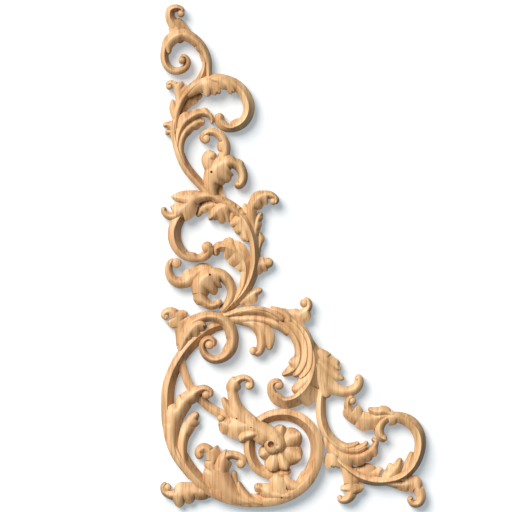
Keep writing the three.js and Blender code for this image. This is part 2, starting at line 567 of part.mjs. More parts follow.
function cornerLeaf() {
  return [
    stem(
      [[280, 322, 4.4, 0.8], [291.4, 332.2, 4.2, 0.84], [298.6, 345, 4.4, 0.84], [297.4, 358, 5, 0.82],
       [290.6, 369.4, 5.4, 0.76], [282.2, 374.8, 3.2, 0.66]],
      PIPE,
    ),
    stem(
      [[285, 320, 5, 0.8], [299, 331.6, 5.2, 0.88], [307.2, 345.6, 5, 0.92], [307.4, 359.4, 5.4, 0.9],
       [300.6, 372, 5.2, 0.84], [295.6, 379.4, 2.6, 0.7]],
      PIPE,
    ),
    stem(
      [[290, 319, 4, 0.76], [306, 334, 4.6, 0.86], [314.6, 350, 5, 0.96], [314.6, 368, 6.6, 0.98],
       [306.6, 382, 6.8, 0.92], [295.6, 390, 4.4, 0.76]],
      PIPE,
    ),
    stem(
      [[294, 321, 3.4, 0.66], [305, 332.6, 3.8, 0.74], [314.6, 346.6, 4.2, 0.84], [320, 362, 6, 0.98],
       [316.8, 378, 7.4, 1], [310.4, 391, 7, 0.94], [300.6, 399.6, 6.2, 0.88], [289.6, 403, 5.5, 0.84],
       [278.8, 400, 5.6, 0.8], [271.8, 392.2, 4.5, 0.78], [271.8, 385.4, 3.9, 0.76], [276.2, 381.2, 3.6, 0.74]],
      { left: [lobes(4.2, 6, [[309.4, 406.4]])], right: [lobes(6.2, 8, [[279.6, 392.6]])] },
    ),
    eye([278.6, 384.4, 4.4, 0.78]),
    stem(
      [[314, 351, 4.6, 0.9], [322, 366, 8, 0.84], [330.4, 380, 7.6, 0.76], [341, 390.2, 5.2, 0.68],
       [350.6, 390.8, 4.6, 0.68], [357.8, 385, 4.6, 0.68], [355.8, 377.4, 4.8, 0.66]],
      {
        left: [lobes(0.3, 2.6, [[336.6, 358], [342, 369.2], [344.8, 379]])],
        right: [lobes(1.2, 2.8, [[326.6, 400]])],
      },
    ),
  ];
}

// The lower right branch: its stem and fan, the leaf that curls up to the corner leaf, and its foot leaves
function lowerBranch() {
  return [
    stem(
      [[323, 386, 4.5, 0.5], [320.8, 406, 4.6, 0.62], [321.8, 421, 5, 0.7], [327.4, 434, 5, 0.74],
       [336, 444.6, 5.6, 0.76], [347, 450.6, 6, 0.76], [358, 451, 5.4, 0.74], [367.4, 448.2, 3.8, 0.7],
       [373.8, 441, 4, 0.66]],
      {
        edges: [0.62, 0.45],
        left: [lobes(5.2, 7.6, [[357.6, 441], [367, 441]])],
        right: [lobes(3.8, 7.8, [[360, 465.4], [370, 462.6], [377.6, 456]])],
      },
    ),
    stem(
      [[332, 440, 5, 0.72], [332.6, 456, 5.6, 0.66], [329.6, 470.4, 4.4, 0.6]],
      { left: [lobes(0.6, 2, [[338, 470]])] },
    ),
    stem(
      [[338, 460.6, 2.8, 0.64], [349, 469.4, 3.4, 0.74], [361, 476.8, 4, 0.8], [375, 480.4, 4.2, 0.82],
       [389, 480.4, 3.8, 0.82], [401.4, 476.6, 3.6, 0.84], [411.4, 468.6, 4.4, 0.86],
       [418.8, 456, 5, 0.88], [421, 442, 5.4, 0.9], [418.2, 429.6, 5.7, 0.88], [409.6, 420.4, 5.8, 0.84],
       [398.4, 417.2, 5, 0.78], [387.8, 417.6, 4, 0.76], [380.6, 424, 4.2, 0.8], [378.8, 432, 4, 0.82],
       [384, 438.2, 4.4, 0.76]],
      { left: [lobes(10.4, 12, [[389.4, 426.6]])] },
    ),
    stem(
      [[396, 413.6, 2.8, 0.6], [382, 415.4, 4.4, 0.66], [369, 418.4, 6, 0.68], [357, 416.8, 6.6, 0.72],
       [349, 409.6, 4.8, 0.74], [350, 399, 4.2, 0.72]],
      {
        right: [lobes(0.2, 3.6, [[380, 406], [368.4, 408.4], [358.4, 403.6]])],
        left: [lobes(1.4, 4, [[362, 430.4], [343.6, 417.4]])],
      },
    ),
    eye([352.4, 400.2, 3.5, 0.74]),
    stem(
      [[344, 466, 2.4, 0.42], [358, 471, 4.6, 0.42], [372, 471.4, 4.8, 0.42], [383.4, 470.2, 2.8, 0.42]],
      { left: [lobes(1.2, 2.4, [[373.4, 464.2]])] },
    ),
    stem(
      [[384, 483, 3, 0.66], [393.4, 474, 5.2, 0.66], [400.4, 457.6, 3.2, 0.64]],
      { left: [lobes(0.4, 1.7, [[389, 463.4]])] },
    ),
    ...petals([400, 480, 0.6], [[409.4, 451, 4.4, 0.56]]),
    stem(
      [[343.6, 464, 2.6, 0.6], [347, 476, 5.4, 0.62], [350.4, 487.6, 6.8, 0.66], [349.6, 496.6, 5, 0.66],
       [342.2, 498.8, 4.4, 0.62]],
      { left: [lobes(0.8, 2.8, [[362, 488.4]])], right: [lobes(1, 2.8, [[339.4, 491]])] },
    ),
    stem(
      [[388, 483.6, 2.2, 0.6], [401, 484, 5, 0.62], [411.6, 484.8, 6.6, 0.66], [419, 490, 5.4, 0.68],
       [421.4, 498.4, 4.2, 0.68], [414, 502.4, 4.8, 0.66]],
      { left: [lobes(1, 2.8, [[417.4, 476.4]])], right: [lobes(0.8, 2.4, [[408.6, 493.4]])] },
    ),
  ];
}

// The small drilled eyes where two lobes part: [x, y, radius]
const DRILLED_EYES = [
  [211.5, 172.2, 1.2],
  [210, 274.6, 1.1],
  [271.6, 443.4, 2.6],
];

function drilledEye([x, y, radius]) {
  const bit = new THREE.CylinderGeometry(radius * SCALE, radius * SCALE, RELIEF, EYE_SIDES);
  bit.translate((x - ORIGIN.x) * SCALE, DRILL_DEPTH - RELIEF * 1.5, (ORIGIN.y - y) * SCALE);
  return solidOf(bit);
}

// The board that is sawn off the back, below the back plane.
function sawnOff() {
  const board = new THREE.BoxGeometry(HEIGHT * 2, RELIEF, HEIGHT * 3);
  board.translate(0, RELIEF / 2, 0);
  return solidOf(board);
}

const carving = wasm.Manifold.union([
  ...firstScroll(),
  ...secondScroll(),
  ...leftStem(),
  ...middleLeaf(),
  ...thirdScroll(),
  ...thirdScrollRight(),
  ...rolledLeaf(),
  ...greatScroll(),
  ...flowerRing(),
  ...leftLeaf(),
  ...headLeaf(),
  ...flower(),
  ...footSpray(),
  ...arch(),
  ...cornerLeaf(),
  ...lowerBranch(),
])
  .subtract(wasm.Manifold.union(DRILLED_EYES.map(drilledEye)))
  .subtract(sawnOff());

// A solid as a mesh with its own material.
function meshOf(solid, name, material) {
  const { vertProperties, triVerts } = solid.getMesh();
  const geometry = new THREE.BufferGeometry();
  geometry.setAttribute('position', new THREE.BufferAttribute(vertProperties, 3));
  geometry.setIndex(new THREE.BufferAttribute(triVerts, 1));
  geometry.computeVertexNormals();
  const mesh = new THREE.Mesh(geometry, material);
  mesh.name = name;
  return mesh;
}

const beech = new THREE.MeshStandardMaterial({ color: 0xd9a66f, roughness: 0.55, metalness: 0 });

const onlay = new THREE.Group();
onlay.add(meshOf(carving, 'carved_onlay', beech));

export default onlay;
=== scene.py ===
"""Carved wooden corner onlay for its picture: the carving itself, its wood and the white wall behind it."""
import math

import bmesh
import bpy
from bpy.props import FloatProperty, FloatVectorProperty, PointerProperty
from bpy.types import Operator, Panel, PropertyGroup
from mathutils import Matrix, Vector


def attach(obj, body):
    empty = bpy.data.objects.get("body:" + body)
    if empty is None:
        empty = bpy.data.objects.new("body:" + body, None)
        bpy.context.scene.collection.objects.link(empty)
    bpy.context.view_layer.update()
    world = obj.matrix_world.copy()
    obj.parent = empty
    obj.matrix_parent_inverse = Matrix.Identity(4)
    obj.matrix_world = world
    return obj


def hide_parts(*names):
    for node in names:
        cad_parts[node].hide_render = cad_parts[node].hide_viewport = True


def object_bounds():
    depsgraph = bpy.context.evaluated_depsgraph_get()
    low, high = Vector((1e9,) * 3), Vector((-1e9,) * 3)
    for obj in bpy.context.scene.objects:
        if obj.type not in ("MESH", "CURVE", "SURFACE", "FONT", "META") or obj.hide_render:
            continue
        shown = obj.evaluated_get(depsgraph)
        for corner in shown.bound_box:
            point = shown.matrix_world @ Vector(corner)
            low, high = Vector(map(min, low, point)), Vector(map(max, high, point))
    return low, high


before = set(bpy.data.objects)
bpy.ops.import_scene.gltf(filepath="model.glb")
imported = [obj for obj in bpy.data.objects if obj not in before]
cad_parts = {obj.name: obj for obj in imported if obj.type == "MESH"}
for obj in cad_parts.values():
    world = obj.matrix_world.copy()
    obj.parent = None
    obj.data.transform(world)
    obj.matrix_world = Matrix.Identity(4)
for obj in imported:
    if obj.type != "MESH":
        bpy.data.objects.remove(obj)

bl_info = {
    "name": "Wooden corner onlay",
    "version": (1, 0, 0),
    "blender": (4, 5, 0),
    "location": "View3D > Sidebar > Onlay",
    "description": "Carves the corner onlay, finishes its wood and hangs it on a white wall",
    "category": "Add Mesh",
}

NODE = "carved_onlay"
CAD_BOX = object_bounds()
BACK = CAD_BOX[1].y
RELIEF = BACK - CAD_BOX[0].y

# The carver's pattern sheet: x to the right, y down, one unit to the millimetre. Places and half widths below
# are in its units, and heights are shares of the relief. The frame's origin is at ORIGIN, by the corner leaf.
UNIT = 0.001
ORIGIN = (317, 372)
SHEET_MIDDLE = (256, 256)
SHEET_WIDTH = 512

# Where the carved surface is cut across a stem, from its edge (0) to its ridge (1)
ACROSS = (0, 0.07, 0.2, 0.38, 0.58, 0.78, 0.92, 1)
SEARCH_STEP = 0.02  # stride of the search for stations, in knots
LEAST_GAP = 0.15  # closest two stations may lie
END_STRIDE = 0.4  # strides over a rounded end, against those along the stem
BEND_REACH = 0.9  # how far the inner edge of a bend may reach towards the centre it turns about
BEND_SPAN = 0.1  # how far to either side a bend is measured over, in knots
SHORT_OF_END = 0.001  # share of a stem at its ends where its direction is taken from a little further in

# A leaf's lobe along its own stretch of edge: its notches lie at 0 and 1, its tip between them
LOBE_TIP = 0.72
LOBE_CUTS = 9
NOTCH_SINK = 0.86  # height of the edge at a notch, against its height at a tip
BELLY = 0.75  # how round a lobe's belly is: 0 is straight and 1 is full
GATHER = 0.04  # how far the cuts of a lobe draw together towards its middle
FLUTE_TOP = 27 / 4  # brings the profile of a flute, s * (1 - s) ** 2, to 1 where it is deepest

EYE_STEPS = 28  # round a bud
EYE_ARC = 11  # degrees between two rings of its dome
BIT_SIDES = 24


def mix(a, b, share):
    """A share of the way from a to b."""
    return a + (b - a) * share


def clamp(value, low, high):
    return max(low, min(high, value))


def cubic_spans(points):
    """Smooth spans through points of any number of values, one for each pair of neighbours."""
    before = [2 * a - b for a, b in zip(points[0], points[1])]
    after = [2 * a - b for a, b in zip(points[-1], points[-2])]
    run = [before, *points, after]
    spans = []
    for four in zip(run, run[1:], run[2:], run[3:]):
        gaps = [math.sqrt(math.dist(a, b)) for a, b in zip(four, four[1:])]
        d1 = gaps[1] if gaps[1] > 1e-4 else 1
        d0 = gaps[0] if gaps[0] > 1e-4 else d1
        d2 = gaps[2] if gaps[2] > 1e-4 else d1
        span = []
        for x0, x1, x2, x3 in zip(*four):
            leave = ((x1 - x0) / d0 - (x2 - x0) / (d0 + d1) + (x2 - x1) / d1) * d1
            reach = ((x2 - x1) / d1 - (x3 - x1) / (d1 + d2) + (x3 - x2) / d2) * d1
            span.append((x1, leave, 3 * (x2 - x1) - 2 * leave - reach, 2 * (x1 - x2) + leave + reach))
        spans.append(span)
    return spans


def read_span(spans, t):
    """The values at knot number t."""
    k = clamp(int(t), 0, len(spans) - 1)
    s = t - k
    return [a + s * (b + s * (c + s * d)) for a, b, c, d in spans[k]]


def read_slope(spans, t):
    """How fast the values change at knot number t."""
    k = clamp(int(t), 0, len(spans) - 1)
    s = t - k
    return [b + s * (2 * c + s * 3 * d) for _, b, c, d in spans[k]]


class Spine:
    """A stem's course over the sheet, with its half width and height, all read at a knot's number."""

    def __init__(self, knots, sizes):
        self.last = len(knots) - 1
        self.course = cubic_spans([(x, y) for x, y, _, _ in knots])
        # The knot's number keeps two knots of the same width and height apart
        self.measures = cubic_spans([(width + sizes.margin / UNIT, height, i)
                                     for i, (_, _, width, height) in enumerate(knots)])
        self.end = self.at(self.last)
        self.end_width = knots[-1][2]

    def at(self, t):
        return Vector(read_span(self.course, t))

    def along(self, t):
        inside = clamp(t, SHORT_OF_END * self.last, (1 - SHORT_OF_END) * self.last)
        return Vector(read_slope(self.course, inside)).normalized()

    def bend(self, t):
        """How sharply the stem turns, one over the radius of its bend."""
        before, after = max(t - BEND_SPAN, 0), min(t + BEND_SPAN, self.last)
        gone = (self.at(after) - self.at(before)).length
        return self.along(before).cross(self.along(after)) / max(gone, 1e-6)

    def width(self, t):
        return read_span(self.measures, t)[0]

    def height(self, t):
        return min(read_span(self.measures, t)[1], 1)

    def rounding(self, t):
        """1 along the stem, and down to 0 over its rounded end."""
        to_end = (self.at(t) - self.end).length
        if t <= self.last - 1 or to_end >= self.end_width:
            return 1
        return math.sqrt(max(0, 1 - (1 - to_end / self.end_width) ** 2))


def lobes(start, stop, *tips, notch=0.16):
    """Lobes along an edge between two knots of its stem, with their tips in order, as a list of one group. A
    notch cuts in by its share of the way from the line of the tips to the spine."""
    return [{"start": start, "stop": stop, "span": (stop - start) / len(tips),
             "tips": [Vector(tip) for tip in tips], "notch": notch}]


def plain_edge(spine, side, crest, narrowest, t):
    """A stem's plain edge, -1 for the left and 1 for the right. On the inside of a bend it stays short of the
    centre that the stem turns about."""
    bend = spine.bend(t)
    room = max(BEND_REACH / abs(bend), narrowest) if bend * side > 0 else math.inf
    width = clamp(spine.width(t) * spine.rounding(t) * (1 - crest * side), narrowest, room)
    along = spine.along(t)
    return spine.at(t) + Vector((-along.y, along.x)) * side * width


def lobed_edge(group, spine, t, plain):
    """The edge of a lobed stretch: out from a notch, round the belly to the tip, and in to the next one."""
    start, span, tips = group["start"], group["span"], group["tips"]
    k = clamp(int((t - start) / span + 1e-6), 0, len(tips) - 1)
    share = (t - start) / span - k

    def notch_at(j):
        if j in (0, len(tips)):
            return plain(start + j * span)
        return tips[j - 1].lerp(tips[j], 0.5).lerp(spine.at(start + j * span), group["notch"])

    rising = share < LOBE_TIP
    part = clamp(share / LOBE_TIP if rising else (1 - share) / (1 - LOBE_TIP), 0, 1)
    notch = notch_at(k if rising else k + 1)
    out = (tips[k] - spine.at(start + (k + LOBE_TIP) * span)).normalized()
    shoulder = notch + out * (tips[k] - notch).dot(out) * BELLY
    return notch.lerp(shoulder, part).lerp(shoulder.lerp(tips[k], part), part), part


def stations_of(spine, groups, sizes):
    """Where a stem is cut across: closely along its lobes, and wherever it has turned or run far enough."""
    keys = {0, spine.last}
    for group in groups:
        for k in range(len(group["tips"])):
            for cut in range(LOBE_CUTS + 1):
                share = cut / LOBE_CUTS
                keys.add(group["start"] + (k + (share + math.sin(share * math.tau) * GATHER)) * group["span"])
            keys.add(group["start"] + (k + LOBE_TIP) * group["span"])
    stations = [0]
    turned = gone = 0
    keys = sorted(keys)[1:]
    t = 0
    while t < spine.last:
        at_key = bool(keys) and t + SEARCH_STEP >= keys[0] - 1e-9
        after = min(keys.pop(0) if at_key else t + SEARCH_STEP, spine.last)
        if after <= t:
            continue
        turned += math.asin(clamp(spine.along(t).cross(spine.along(after)), -1, 1))
        gone += (spine.at(after) - spine.at(t)).length
        near_end = (spine.at(after) - spine.end).length < spine.end_width and after > spine.last - 1
        stride = sizes.stride / UNIT * (END_STRIDE if near_end else 1)
        t = after
        if at_key or abs(turned) > sizes.turn or gone > stride:
            if gone > LEAST_GAP or t == spine.last:
                stations.append(t)
                turned = gone = 0
    return stations


# Across a stem, its surface rises from its left and its right edge to its ridge. A swell above 0 rounds it
# over, the plumper the nearer to 0, and one below 0 is a straight or hollow flank that meets the ridge in a
# crease. A stem with a steep flank has its ridge to that side.
FALLS_LEFT = {"crest": 0.1, "ridge": -0.05, "edges": (0.24, 0.8), "swell": (-1, 0.9)}
FALLS_RIGHT = {"crest": -0.1, "ridge": 0.05, "edges": (0.8, 0.24), "swell": (0.9, -1)}
PIPE = {"ridge": -0.25, "edges": (0.72, 0.8), "swell": (-1, 0.9)}


def stem(*knots, crest=0, ridge=0, edges=(0.72, 0.72), swell=(1, 1), flute=1, end=0.8, left=(), right=()):
    """A stem, a scroll or a leaf, through its knots [x, y, half width, height]. Its edges may carry lobes, to
    the left and to the right of its travel. Edges and end are the heights of its edges and of its tip, as
    shares of its ridge's, and flute deepens or flattens the hollows between the lobes."""
    return {"knots": knots, "crest": crest, "ridge": ridge, "edges": edges, "swell": swell, "left": left,
            "right": right, "flute": flute, "end": end}


def across_of(shape, spine, sizes, t):
    """The carved surface on one station, from the left edge over the ridge to the right edge."""
    narrowest = sizes.tip_width / 2 / UNIT
    rounding = spine.rounding(t)
    top = spine.height(t) * mix(shape["end"], 1, rounding)
    middle = spine.at(t)
    rims = []
    for side, key, share in ((-1, "left", shape["edges"][0]), (1, "right", shape["edges"][1])):
        group = next((g for g in shape[key] if g["start"] - 1e-6 < t < g["stop"] + 1e-6), None)

        def plain(at, side=side):
            return plain_edge(spine, side, shape["crest"], narrowest, at)

        place, part = lobed_edge(group, spine, t, plain) if group else (plain(t), 1)
        rims.append((place, top * share * mix(NOTCH_SINK, 1, part), part if group else 1))
    ridge = shape["ridge"]
    crown = middle.lerp(rims[1][0], ridge) if ridge > 0 else middle.lerp(rims[0][0], -ridge)
    row = []
    for side, (rim, height, part) in enumerate(rims):
        half = []
        for share in ACROSS:
            swell = shape["swell"][side]
            rise = math.sin(share * math.pi / 2) ** swell if swell > 0 else share ** -swell
            hollow = FLUTE_TOP * share * (1 - share) ** 2 * (1 - math.sin(part * math.pi / 2))
            depth = mix(height, top, rise) * sizes.relief
            depth -= hollow * shape["flute"] * sizes.flute
            half.append((rim.lerp(crown, share), depth))
        row.extend(half if side == 0 else half[-2::-1])
    return row


def to_frame(place, depth):
    """A sheet place and a depth over the back, as a point of the part's frame."""
    return Vector(((place.x - ORIGIN[0]) * UNIT, BACK - depth, (ORIGIN[1] - place.y) * UNIT))


def object_of(shape_mesh, name):
    """A closed bmesh as an object of the scene."""
    bmesh.ops.recalc_face_normals(shape_mesh, faces=shape_mesh.faces)
    mesh = bpy.data.meshes.new(name)
    shape_mesh.to_mesh(mesh)
    shape_mesh.free()
    return linked(mesh, name)


def carved_stem(shape, sizes):
    """One stem or leaf as a solid, from its carved surface down to behind the back."""
    spine = Spine(shape["knots"], sizes)
    stations = stations_of(spine, [*shape["left"], *shape["right"]], sizes)
    rows = [across_of(shape, spine, sizes, t) for t in stations]
    down, side = len(rows) - 1, len(rows[0]) - 1
    bm = bmesh.new()
    bmesh.ops.create_grid(bm, x_segments=side, y_segments=down, size=0.5)
    for vert in bm.verts:
        place, depth = rows[round((vert.co.y + 0.5) * down)][round((vert.co.x + 0.5) * side)]
        vert.co = to_frame(place, depth)
    pulled = bmesh.ops.extrude_face_region(bm, geom=bm.faces[:])
    for item in pulled["geom"]:
        if isinstance(item, bmesh.types.BMVert):
            item.co.y = BACK + sizes.saw_allowance
    return object_of(bm, "stem")


def eye(x, y, radius, height, drop=0.8):
    """The round bud at the middle of a curl. Its rim drops to a share of its height."""
    return {"eye": (x, y, radius, height), "drop": drop}


def carved_eye(shape, sizes):
    """A domed bud on its own column, turned round its middle."""
    x, y, radius, height = shape["eye"]
    radius *= UNIT
    top = height * sizes.relief
    rim = top * shape["drop"]
    bm = bmesh.new()
    profile = [(radius, -sizes.saw_allowance)]
    profile += [(radius * math.cos(a), mix(rim, top, math.sin(a))) for a in
                (math.radians(angle) for angle in range(0, 90, EYE_ARC))]
    verts = [bm.verts.new((r, -depth, 0)) for r, depth in profile]
    verts = [bm.verts.new((0, sizes.saw_allowance, 0)), *verts, bm.verts.new((0, -top, 0))]
    line = [bm.edges.new(pair) for pair in zip(verts, verts[1:])]
    bmesh.ops.spin(bm, geom=[*verts, *line], cent=(0, 0, 0), axis=(0, 1, 0), angle=math.tau,
                   steps=EYE_STEPS, use_merge=True)
    bmesh.ops.remove_doubles(bm, verts=bm.verts, dist=1e-7)
    bmesh.ops.translate(bm, verts=bm.verts, vec=to_frame(Vector((x, y)), 0))
    return object_of(bm, "eye")


def petal(root, tip, **shape):
    """One lobe of a leaf by itself, from its root [x, y, height] to its tip [x, y, half width, height]."""
    x0, y0, root_height = root
    x1, y1, width, height = tip
    return stem(
        [x0, y0, width * 0.5, root_height],
        [mix(x0, x1, 0.5), mix(y0, y1, 0.5), width, mix(root_height, height, 0.7)],
        [x1, y1, width * 0.9, height],
        **shape,
    )


def first_scroll():
    """Top curl with its collar, and the first scroll with the leaf that sheathes its root."""
    yield stem(
        [186, 40, 6, 0.6], [176.6, 27, 6.4, 0.66], [170.4, 18, 4.6, 0.76], [171, 10.8, 4.2, 0.76],
        [176, 8.4, 3.3, 0.74], [181, 9.6, 2.8, 0.72], [182.6, 13, 2.4, 0.7],
        edges=(0.8, 0.36), swell=(0.9, -0.9), left=lobes(0, 1.1, [168.6, 28.8]),
        right=lobes(0, 1.55, [181.6, 19.2]),
    )
    yield eye(181, 14, 3.5, 0.7)
    yield stem(
        [209, 82, 2, 0.66], [208.4, 71, 3.4, 0.76], [207, 60.4, 4.4, 0.82], [202.4, 49.6, 5, 0.86],
        [194.4, 40.2, 5.2, 0.88], [183.6, 35, 5.6, 0.88], [174, 37.6, 6.2, 0.87], [167.9, 45, 5.7, 0.84],
        [169.2, 54.4, 1.6, 0.78],
        edges=(0.72, 0.62), left=lobes(1.5, 3.5, [201.2, 60.4], [197.4, 51.2], notch=0.08),
    )
    yield stem(
        [196.4, 86, 4, 0.66], [202, 76, 3.2, 0.78], [204.6, 68, 2.5, 0.82], [204.6, 60, 1.7, 0.84],
        [201.4, 51.6, 1, 0.84],
        edges=(0.8, 0.7), swell=(-0.9, -0.9),
    )
    yield stem(
        [166.8, 41, 3, 0.72], [165, 50, 3.6, 0.78], [164.8, 59.4, 3.8, 0.78], [167.6, 66.4, 3.7, 0.76],
        [173.4, 70.7, 3.5, 0.75], [180.4, 70.6, 3.4, 0.75], [186, 67, 3.2, 0.76], [187.6, 61.4, 2.9, 0.76],
        [184.8, 57.2, 2.4, 0.76], [180.6, 57.2, 2, 0.76],
        edges=(0.4, 0.8), swell=(-1, 0.9),
    )
    yield eye(182, 60.6, 3.4, 0.8)


def second_scroll():
    """The second scroll, which opens to the left, with the leaves on its root and on its left."""
    yield stem(
        [174.4, 132, 3, 0.78], [178, 110, 3.2, 0.83], [183.4, 97.8, 3.8, 0.86], [191.6, 88.8, 4.6, 0.87],
        [201.4, 81.8, 4.6, 0.86], [213, 78.2, 3.8, 0.82], [224, 79, 4, 0.82], [234, 83.4, 4.8, 0.85],
        [241.6, 90.2, 5.3, 0.88], [247, 99, 5.6, 0.9], [248.9, 109, 5.5, 0.88], [245.4, 119.4, 5.3, 0.86],
        [238, 126, 4.6, 0.82], [230, 128.4, 3.8, 0.8], [223.4, 125.8, 4.6, 0.82], [219.4, 120.4, 4.8, 0.84],
        [220.6, 113.2, 4.2, 0.84],
        edges=(0.56, 0.66), swell=(-0.9, 0.9), right=lobes(11.4, 12.8, [230.4, 121.8], notch=0.3),
    )
    yield stem(
        [187, 95.4, 3.4, 0.8], [197.4, 87.6, 6.2, 0.88], [206.6, 85.2, 6.8, 0.91], [214.4, 88.2, 5, 0.86],
        [220.4, 93.6, 1.4, 0.76],
        edges=(0.86, 0.8), swell=(0.8, 0.8), right=lobes(1.4, 3.7, [207.2, 96.8], [215, 95.6], notch=0.2),
    )
    yield stem(
        [211, 79.6, 3, 0.84], [220, 81.6, 4.4, 0.88], [228, 85.6, 4.4, 0.88], [234.4, 92.6, 1.2, 0.78],
        edges=(0.86, 0.8), swell=(0.8, 0.8), right=lobes(0.6, 2.8, [223.6, 89.6], [231.8, 94.6], notch=0.12),
    )
    yield stem(
        [179, 119, 1.6, 0.34], [184, 108.4, 4.6, 0.38], [190, 101, 5.4, 0.4], [197, 96.6, 4, 0.4],
        [202.6, 95.4, 1.6, 0.4],
        right=lobes(0.8, 3.5, [188.6, 109], [196.8, 103.4], [201.8, 97.8], notch=0.12),
    )
    yield stem(
        [178.2, 110, 2.4, 0.6], [179.4, 99, 3.6, 0.68], [178.6, 91, 4.4, 0.74], [175, 85.4, 3.6, 0.74],
        [170, 83.4, 2.5, 0.72], [167, 86, 2, 0.68],
        edges=(0.7, 0.8), right=lobes(0.7, 2.9, [187.6, 87.4], [182.2, 81.2], notch=0.12),
    )
    yield eye(169.4, 86.4, 3.2, 0.68)
    yield stem([175, 120, 2, 0.54], [172.6, 109.4, 2.8, 0.52], [172.8, 99.4, 1.2, 0.5], edges=(0.84, 0.84))
    yield stem(
        [178, 131, 3.4, 0.72], [172, 126.8, 3.8, 0.7], [166.8, 124.8, 2.6, 0.68], [163.4, 126.4, 2.2, 0.64],
        right=lobes(0.4, 1.7, [169, 120.8]),
    )
    yield stem(
        [178, 137, 3.4, 0.6], [171.6, 132.6, 3.4, 0.54], [165.4, 131.2, 1.8, 0.48],
        left=lobes(0.3, 1.8, [170.4, 137.6], [165, 133.8]),
    )


def left_stem():
    """The long stem on the left, with the two leaves that turn in from it."""
    yield stem(
        [217.4, 199.8, 4, 0.62], [207.4, 191.8, 4.2, 0.7], [196.2, 180.4, 4.6, 0.78],
        [185.8, 167.4, 4.6, 0.82], [180, 155.4, 4.4, 0.84], [176.2, 143, 3.9, 0.84], [174, 131, 3.6, 0.82],
        [175, 119, 3, 0.8],
        **FALLS_RIGHT,
    )
    yield stem(
        [177, 148, 2, 0.8], [178.8, 134, 3.2, 0.86], [184, 123.6, 4.6, 0.9], [192.4, 116.8, 4.6, 0.9],
        [201.4, 113.2, 4, 0.86], [208.4, 114.8, 2.9, 0.8], [212.2, 119.4, 2.2, 0.72], [211.6, 124, 1.4, 0.64],
        edges=(0.74, 0.6), left=lobes(1.3, 5, [184.4, 112.2], [195.8, 109.2], [203.8, 107.6], notch=0.12),
    )
    yield stem(
        [186, 168, 2.6, 0.72], [180.8, 152, 3, 0.8], [181.6, 140, 3.6, 0.82], [186.4, 131, 4.6, 0.8],
        [193.6, 125, 5, 0.76], [200.4, 121.8, 3.8, 0.7], [205, 122.6, 1.4, 0.64],
        edges=(0.7, 0.7), right=lobes(2.7, 5.3, [192.6, 132], [199.6, 128.4], [204.8, 124.6], notch=0.1),
    )


def middle_leaf():
    """The middle curl and the great domed leaf under it, with its ear and its hook."""
    yield stem(
        [220, 163, 6, 0.76], [225, 152, 5, 0.8], [224.8, 143, 4.6, 0.82], [220, 135.6, 4.2, 0.82],
        [212.6, 132, 3.6, 0.8], [206, 133.4, 3.2, 0.8], [202.6, 138, 2.8, 0.78], [204.4, 142, 2.4, 0.76],
        left=lobes(0.9, 2.3, [217, 142.4], notch=0.3),
    )
    yield eye(205.4, 139, 4.8, 0.8)
    yield stem(
        [217, 174, 4, 0.8], [211.4, 167, 7, 0.9], [209.6, 158.6, 7.6, 0.9], [215.4, 153, 4.4, 0.84],
        edges=(0.7, 0.7), swell=(0.8, 0.8), end=0.9,
    )
    yield stem(
        [215, 199, 2.8, 0.66], [212, 189.6, 5.6, 0.8], [212.4, 180, 8.8, 0.93], [216.6, 170.4, 11, 1],
        [224.6, 164, 9.4, 1], [233, 162.4, 6, 0.96], [239.4, 166.8, 5, 0.92], [242.8, 174, 4.5, 0.9],
        [242.6, 180, 4.5, 0.88], [239.8, 184.2, 4.5, 0.86], [234.2, 184.6, 3.8, 0.84],
        edges=(0.6, 0.6), swell=(0.75, 0.75), flute=0.15, left=lobes(5, 6.2, [238.2, 158.8], notch=0.1),
        right=lobes(1.6, 4.3, [222.6, 186], [230.6, 180.8], [234, 175], notch=0.06),
    )
    yield stem([226, 202, 3, 0.36], [220, 194, 3.6, 0.3], [219, 184, 3.6, 0.26], edges=(0.84, 0.84))


